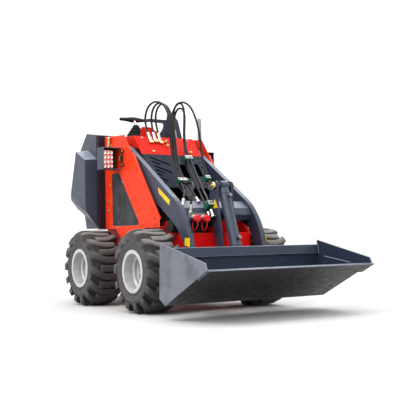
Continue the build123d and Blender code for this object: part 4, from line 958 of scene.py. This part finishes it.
def make_labels():
    """Blank yellow plates on the arms and the tilt cylinder's plate."""
    form = Form("blank_labels")
    for sign in (-1, 1):
        for corners in (
            ((0.262, 0.690), (0.272, 0.656), (0.384, 0.584), (0.392, 0.612)),
            ((0.545, 0.405), (0.541, 0.364), (0.592, 0.356), (0.597, 0.402)),
        ):
            form.plate(corners, sign * ARM_OUT_Y, sign * 0.0007, "yellow")
    form.plate(((0.538, 0.614), (0.513, 0.562), (0.568, 0.566)), -CENTRE_PLATE_Y, -0.0007, "yellow")
    form.done("arms", "charcoal_paint")


def pin_head(form, spot, y, size, key="zinc"):
    """A pin's head with its step and grease nipple, at an (X, Z) spot and facing away from the middle."""
    place, out = at(spot[0], y, spot[1]), (0, y, 0)
    form.lathe(place, out, [(0, size), (0.006, size), (0.0085, size - 0.003)], key, 32)
    form.lathe(place, out, [(0.0085, size * 0.45), (0.011, size * 0.42), (0.0118, size * 0.30)], key, 24)
    nipple = [(0.0115, 0.0042), (0.015, 0.0042), (0.0155, 0.0028), (0.019, 0.0032), (0.021, 0.002)]
    form.lathe(place, out, nipple, "brass", 12)


def make_pins():
    """Pin heads, their retainers and grease nipples."""
    form = Form("arm_pin_heads")
    for sign in (-1, 1):
        pin_head(form, TILT_BASE, sign * (CENTRE_PLATE_Y + 0.0058), 0.0195, "brass")
        x, z = TILT_BASE
        form.bolt(at(x - 0.024, sign * CENTRE_PLATE_Y, z - 0.018), (0, sign, 0), 0.0062)
    form.done("arms", "fitting")
    form = Form("bucket_pin_heads")
    for sign in (-1, 1):
        pin_head(form, BUCKET_PIN, sign * 0.2690, 0.0200)
        pin_head(form, TILT_EYE, sign * 0.0360, 0.0170)
    form.done("bucket", "fitting")
    form = Form("lift_pin_heads")
    for sign in (-1, 1):
        form.lathe(at(LIFT_PIN[0], sign * 0.2701, LIFT_PIN[1]), (0, sign, 0),
                   [(0, 0.026), (0.0035, 0.026), (0.0045, 0.024)], "zinc", 32)
    form.done("chassis", "fitting")


def make_cylinder_details():
    """Gland nuts, port fittings and weld rings on the cylinders."""
    form = Form("tilt_cylinder_details")
    base = at(TILT_BASE[0], 0, TILT_BASE[1])
    way = (at(TILT_EYE[0], 0, TILT_EYE[1]) - base).normalized()
    gland = [(0, 0.0345), (0.001, 0.0350), (0.004, 0.0350), (0.0052, 0.0180)]
    form.lathe(base + way * 0.366, way, gland, "charcoal", 36)
    bead = [(-0.004, 0.0302), (0, 0.0325), (0.004, 0.0302)]
    form.lathe(base + way * 0.052, way, bead, "charcoal", 36, caps=False)
    # columns: along the cylinder, aside
    tube = ((0.0745, 0.026), (0.0780, 0.0338), (0.0850, 0.0360), (0.3050, 0.0360), (0.3130, 0.0338),
            (0.3180, 0.026))
    form.pipe([base + way * along + Vector((0, aside, 0)) for along, aside in tube], 0.0042, "black", 10)
    out = Vector((-way.z, 0, way.x))
    for along in (0.0745, 0.318):
        port = [(0, 0.0118), (0.009, 0.0118), (0.010, 0.0104)]
        form.lathe(base + way * along + out * 0.046, out, port, "steel", 6)
    form.done("tilt_barrel", "charcoal_paint")
    for hand, sign in (("right", -1), ("left", 1)):
        form = Form(f"lift_cylinder_details_{hand}")
        low, high = (at(x, sign * y, z) for x, y, z in LIFT_RAM)
        way = (high - low).normalized()
        gland = [(0, 0.0228), (0.002, 0.0240), (0.024, 0.0240), (0.026, 0.0228)]
        form.lathe(low + way * 0.322, way, gland, "charcoal", 32)
        form.done(f"lift_barrel_{hand}", "charcoal_paint")


def make_couplers():
    """Red dust caps with their straps on the two hydraulic couplers."""
    form = Form("dust_caps")
    way = (0.9979, 0, -0.0644)
    cap = [(0, 0.0185)]
    for ring in range(4):
        cap += [(0.003 + ring * 0.004, 0.0198), (0.005 + ring * 0.004, 0.0190)]
    cap += [(0.0215, 0.0192), (0.0245, 0.0165), (0.0250, 0.010)]
    nut = [(0, 0.0172), (0.004, 0.0180), (0.014, 0.0180), (0.017, 0.0162)]
    sleeve = [(0, 0.0162), (0.002, 0.0172), (0.011, 0.0172), (0.013, 0.0162)]
    # columns: X, how far to the right of the coupler, Z
    strap = ((0.566, 0, 0.492), (0.572, 0.003, 0.474), (0.566, 0.008, 0.452), (0.548, 0.010, 0.441),
             (0.530, 0.008, 0.448), (0.520, 0.004, 0.470), (0.519, 0, 0.494))
    for y in (-0.184, -0.124):
        form.lathe(at(0.551, y, 0.5084), way, cap, "red_cap", 28)
        form.lathe(at(0.516, y, 0.5122), way, nut, "zinc", 6)
        form.lathe(at(0.536, y, 0.5106), way, sleeve, "zinc", 28)
        form.pipe([at(x, y - aside, z) for x, aside, z in strap], 0.0026, "red_cap", 8)
    form.done("arms", "coupler")


def make_lever():
    """The ribbed rubber boot, the neck and the T-shaped handle of the drive control."""
    form = Form("control_lever_detailed")
    boot = [(0.0, 0.0640), (0.022, 0.0640), (0.026, 0.0620)]
    for ring in range(6):
        base, r = 0.028 + ring * 0.0105, 0.0560 - ring * 0.0068
        boot += [(base, r - 0.003), (base + 0.003, r + 0.003), (base + 0.0055, r + 0.0035), (base + 0.008, r)]
    boot += [(0.093, 0.0150), (0.098, 0.0135)]
    form.lathe(at(-0.468, 0, 1.050), (0, 0, 1), boot, "rubber", 40)
    top = at(-0.500, 0, 1.185)
    form.pipe([at(-0.468, 0, 1.140), at(-0.476, 0, 1.155), at(-0.490, 0, 1.172), top], 0.0105, "zinc", 16)
    grip = [(-0.1020, 0.0060), (-0.1010, 0.0088), (-0.0985, 0.0100), (-0.0900, 0.0105), (-0.0700, 0.0115),
            (-0.0500, 0.0135), (-0.0340, 0.0160), (-0.0200, 0.0180), (0.0, 0.0185)]
    grip += [(-y, r) for y, r in reversed(grip[:-1])]
    form.lathe(top, (0, 1, 0), grip, "black", 28)
    form.done("chassis", "black_plastic", ["control_lever"], 40.0)


def make_lamp_details():
    """The reflector cups and diodes in the lamps, with their bezel and screws."""
    form = Form("lamp_details")
    low, high = LAMP_Z
    near, far = PANEL_Y + 0.045, PANEL_Y + 0.111
    ahead = (1, 0, 0)
    cup = [(0.0002, 0.0112), (0.0022, 0.0108), (0.0022, 0.0100), (0.0010, 0.0070), (0.0006, 0.0045)]
    diode = [(0.0005, 0.0060), (0.0022, 0.0054), (0.0032, 0.0036), (0.0036, 0.0014)]
    for sign in (-1, 1):
        a, b = sign * (near + 0.001), sign * (far - 0.001)
        corners = ((a, low + 0.001), (b, low + 0.001), (b, high - 0.001), (a, high - 0.001))
        form.skin([[at(x, y, z) for y, z in corners] for x in (LAMP_X, LAMP_X + 0.0004)], "lamp_face")
        for column in range(3):
            for row in range(4):
                y = sign * (far - (far - near) / 3 * (column + 0.5))
                spot = at(LAMP_X, y, low + (high - low) / 4 * (row + 0.5))
                form.lathe(spot, ahead, cup, "reflector", 20, caps=False)
                form.lathe(spot, ahead, diode, "diode", 14)
        for z in (low + 0.004, high - 0.004):
            for y in (near + 0.004, far - 0.004):
                form.button(at(LAMP_X, sign * y, z), ahead, 0.0030, "zinc")
    form.done("chassis", "lamp")


def stadium(start, end, width, steps=8):
    """The outline of a round-ended slot."""
    start, end = Vector(start), Vector(end)
    way = (end - start).normalized()
    side = Vector((-way.y, way.x))
    points = []
    for middle, sign in ((end - way * width / 2, 1), (start + way * width / 2, -1)):
        for i in range(steps + 1):
            a = math.pi * (i / steps - 0.5)
            points.append(middle + (way * math.cos(a) + side * math.sin(a)) * (width / 2 * sign))
    return points


def rounded_rectangle(middle, length, width, radius, steps=5):
    """The outline of a rectangle with round corners."""
    points = []
    for x, y, turn in ((1, 1, 0), (-1, 1, 90), (-1, -1, 180), (1, -1, 270)):
        corner = Vector(middle) + Vector((x * (length / 2 - radius), y * (width / 2 - radius)))
        for i in range(steps + 1):
            a = math.radians(turn + 90 * i / steps)
            points.append(corner + Vector((math.cos(a), math.sin(a))) * radius)
    return points


def make_cover():
    """The louvred cover, whose slots run down towards the middle, with its bolts."""
    origin = at(-0.001, 0, 0.905)
    down = Vector((1, 0, -1.28)).normalized()
    out = Vector((-down.z, 0, down.x))
    half, length, thick, soft = 0.209, 0.264, 0.006, 0.0008
    outlines = [[Vector(p) for p in ((0, -half), (length, -half), (length, half), (0, half))]]
    # columns: start down the slope, start Y, end down the slope, end Y
    louvres = (
        (0.023, -0.165, 0.086, -0.044), (0.057, -0.164, 0.084, -0.112), (0.091, -0.162, 0.146, -0.053),
        (0.123, -0.160, 0.153, -0.108), (0.154, -0.158, 0.170, -0.128), (0.184, -0.156, 0.213, -0.104),
        (0.215, -0.154, 0.232, -0.122),
    )
    outlines += [stadium(row[:2], row[2:], 0.012) for row in louvres]
    outlines += [rounded_rectangle((0.130, 0.038), 0.110, 0.044, 0.006),
                 rounded_rectangle((0.118, 0.138), 0.104, 0.036, 0.006)]
    outlines += [stadium((s - 0.006, 0.174), (s + 0.006, 0.174), 0.0119) for s in (0.021, 0.055, 0.092)]
    curve = bpy.data.curves.new("cover_outline", "CURVE")
    curve.dimensions = "2D"
    curve.fill_mode = "BOTH"
    curve.extrude = thick / 2 - soft
    curve.bevel_depth = soft
    curve.bevel_resolution = 1
    curve.offset = -soft
    for outline in outlines:
        spline = curve.splines.new("POLY")
        spline.points.add(len(outline) - 1)
        for spot, place in zip(spline.points, outline):
            spot.co = (place.x, place.y, 0.0, 1.0)
        spline.use_cyclic_u = True
    mesh = curve_mesh("cover_outline", curve, "cover")
    mesh.transform(Matrix.Translation(origin - out * (thick / 2))
                   @ Matrix((down, Vector((0, 1, 0)), out)).transposed().to_4x4())
    mesh.set_sharp_from_angle(angle=math.radians(35))
    cover = link("louvred_cover", mesh)
    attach(cover, "chassis")
    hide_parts("louvre_cover")
    form = Form("cover_hardware")
    for s in (0.012, 0.252):
        for y in (-0.198, -0.066, 0.066, 0.198):
            form.bolt(origin + down * s + Vector((0, y, 0)), out, 0.0050, "charcoal")
    form.done("chassis", "charcoal_paint")


def make_welds():
    """Weld beads where the arms, the frame and the bucket's plates meet."""
    form = Form("arm_welds")
    beam = ((0.400, 0.608), (0.470, 0.568), (0.492, 0.530), (0.478, 0.500), (0.440, 0.500), (0.400, 0.535))
    lower = ((0.556, 0.320), (0.600, 0.320), (0.612, 0.240), (0.578, 0.240))
    for sign in (-1, 1):
        y = sign * (ARM_IN_Y - 0.0005)
        for outline in (beam, lower):
            for (x0, z0), (x1, z1) in zip(outline, outline[1:] + outline[:1]):
                form.weld(at(x0, y, z0), at(x1, y, z1), 0.0036)
        for y in (sign * (CENTRE_PLATE_Y + 0.0004), sign * 0.0416):
            form.weld(at(0.470, y, 0.5690), at(0.4915, y, 0.5310), 0.0034)
    form.done("arms", "charcoal_paint")
    form = Form("frame_welds")
    for sign in (-1, 1):
        y = sign * 0.1975
        form.weld(at(0.5003, y, 0.192), at(0.5003, y, 0.428), 0.0034, "deep_red")
        y = sign * 0.2095
        form.weld(at(0.021, y, 0.4685), at(0.316, y, 0.4685), 0.0030, "deep_red")
    form.done("chassis", "red_frame")


def make_bucket_details():
    """Weld beads inside the bucket and the pressed creases of its side plates."""
    curl = math.radians(BUCKET_CURL)
    heel = at(BUCKET_HEEL[0], 0, BUCKET_HEEL[1])
    floor, up = Vector((math.cos(curl), 0, math.sin(curl))), Vector((-math.sin(curl), 0, math.cos(curl)))
    form = Form("bucket_details")

    def spot(x, y, z):
        return heel + floor * x + up * z + Vector((0, y, 0))

    for sign in (-1, 1):
        y = sign * 0.5035
        for x0, z0, x1, z1 in ((0.004, 0.0065, 0.425, 0.0065), (-0.026, 0.053, 0.002, 0.008),
                               (-0.026, 0.053, 0.088, 0.262)):
            form.weld(spot(x0, y, z0), spot(x1, y, z1), 0.0034, "bucket")
        y = sign * 0.5040
        # the crease's ridge in the lighter edge finish: painted highlight with wear
        form.pipe([spot(0.112, y, 0.187), spot(0.288, y, 0.068)], 0.0030, "bucket_highlight_and_wear", 8)
    form.done("bucket", "bucket_paint")


def make_hood_details():
    """Seams, latches and screws on the rear hood, and dark sheets of painted shade on its side edges and
    front faces.
    """
    form = Form("hood_details")
    for sign in (-1, 1):
        # dark reddish sheets on the hood's side edge and over its front face: painted shade with a painted
        # reflection of the red panel
        corners = ((-0.3975, 0.4705), (-0.3690, 0.4705), (-0.3690, 1.0480), (-0.3975, 1.0520))
        form.plate(corners, sign * HOOD_Y, sign * 0.0008, "hood_shade_strip")
        inner = PANEL_Y + 0.001
        corners = ((inner, 0.4705), (HOOD_Y, 0.4705), (HOOD_Y, 1.0480), (inner, 1.0480))
        form.skin([[at(x, sign * y, z) for y, z in corners] for x in (-0.3679, -0.3671)], "hood_shade_strip")
        seam = [at(-0.400, sign * HOOD_Y, 1.052), at(-0.400, sign * (HOOD_Y + 0.0005), 0.915)]
        form.pipe(seam, 0.0012, "black", 6)
    # paddle latches and screws on the sloping rear face
    for y in (-0.235, 0.235):
        spot, left = at(-0.6490, y, 0.860), (0, -1, 0)
        form.block(spot, left, HOOD_UP, 0.030, 0.018, 0.0045, "black", 0.0015)
        form.block(spot + HOOD_REAR * 0.0045, left, HOOD_UP, 0.018, 0.010, 0.0035, "zinc", 0.001)
    for y in (-0.280, -0.120, 0.120, 0.280):
        form.button(at(-0.6575, y, 0.725), HOOD_REAR, 0.0062, "black")
        form.button(at(-0.6415, y, 0.966), HOOD_REAR, 0.0062, "black")
    form.done("chassis", "charcoal_paint")


def make_thigh_pad():
    """The crowned pad on the hood's rear face, with its two piped seams."""
    form = Form("thigh_pad_padded")
    up = (at(-0.640, 0, 0.985) - at(-0.660, 0, 0.700)).normalized()
    out = Vector((-up.z, 0, up.x))
    middle = at(-0.6505, 0, 0.8325) + out * 0.0010
    wide, tall, thick = 0.157, 0.0985, 0.0325
    channel_u = 0.36

    def fall(u):
        """How the crown falls towards the edge at 1."""
        return (1 - abs(u) ** 2.6) ** 0.42

    def place(u, v, height, pull=1.0):
        return middle + Vector((0, u * wide * pull, 0)) + up * (v * tall) + out * height

    columns, rows = 40, 26
    points = []
    for i in range(rows + 1):
        v = 2 * i / rows - 1
        for j in range(columns + 1):
            u = 2 * j / columns - 1
            edge = max(abs(u) ** 7, abs(v) ** 5)
            channel = 0.0036 * math.exp(-((abs(u) - channel_u) / 0.028) ** 2)
            height = max(0.0, thick * (fall(u) * fall(v)) - channel * (1 - edge))
            points.append(place(u, v, height, 1 - 0.018 * (1 - abs(v)) * abs(u) ** 4))
    n = columns + 1
    faces = [(i * n + j, i * n + j + 1, (i + 1) * n + j + 1, (i + 1) * n + j)
             for i in range(rows) for j in range(columns)]
    rim = list(range(n)) + [i * n + columns for i in range(1, rows + 1)]
    rim += [rows * n + j for j in range(columns - 1, -1, -1)] + [i * n for i in range(rows - 1, 0, -1)]
    faces.append(tuple(reversed(rim)))
    form.add(points, faces, "vinyl")
    for sign in (-1, 1):
        steps = [0.92 * (k / 9 - 1) for k in range(19)]
        seam = [place(sign * channel_u, v, thick * fall(v) * 0.93 - 0.0034) for v in steps]
        form.pipe(seam, 0.0011, "vinyl", 6)
    pad = form.done("chassis", "rubber", ["thigh_pad"], 60.0)


def make_platform_details():
    """Raised tread bars on the operator's step."""
    form = Form("step_tread")
    rear_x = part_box("operator_platform")[0][0]
    deck_z = 0.2228
    bar = [(-0.013, 0), (-0.006, -0.0028), (0.006, -0.0028), (0.013, 0), (0.006, 0.0028), (-0.006, 0.0028)]
    for row in range(12):
        for column in range(13):
            a = math.radians(45 if (row + column) % 2 else -45)
            way = Vector((math.cos(a), math.sin(a), 0))
            spot = Vector((rear_x + 0.030 + row * 0.031, -0.222 + column * 0.037, deck_z))
            form.prism(bar, spot, way, (-way.y, way.x, 0), 0.0016, "charcoal", 0.0005)
    form.done("chassis", "charcoal_paint")


dress_nodes()
soften_edges()
make_camera()
make_hoses()
for wheel_end in ("front", "rear"):
    for wheel_hand in ("left", "right"):
        make_tyre(wheel_end, wheel_hand)
        make_wheel_hardware(wheel_end, wheel_hand)
make_meshes()
make_fittings()
make_engine_details()
make_clamp_tops()
make_panel_hardware()
make_labels()
make_pins()
make_cylinder_details()
make_couplers()
make_lever()
make_lamp_details()
make_cover()
make_welds()
make_bucket_details()
make_hood_details()
make_thigh_pad()
make_platform_details()
make_studio()
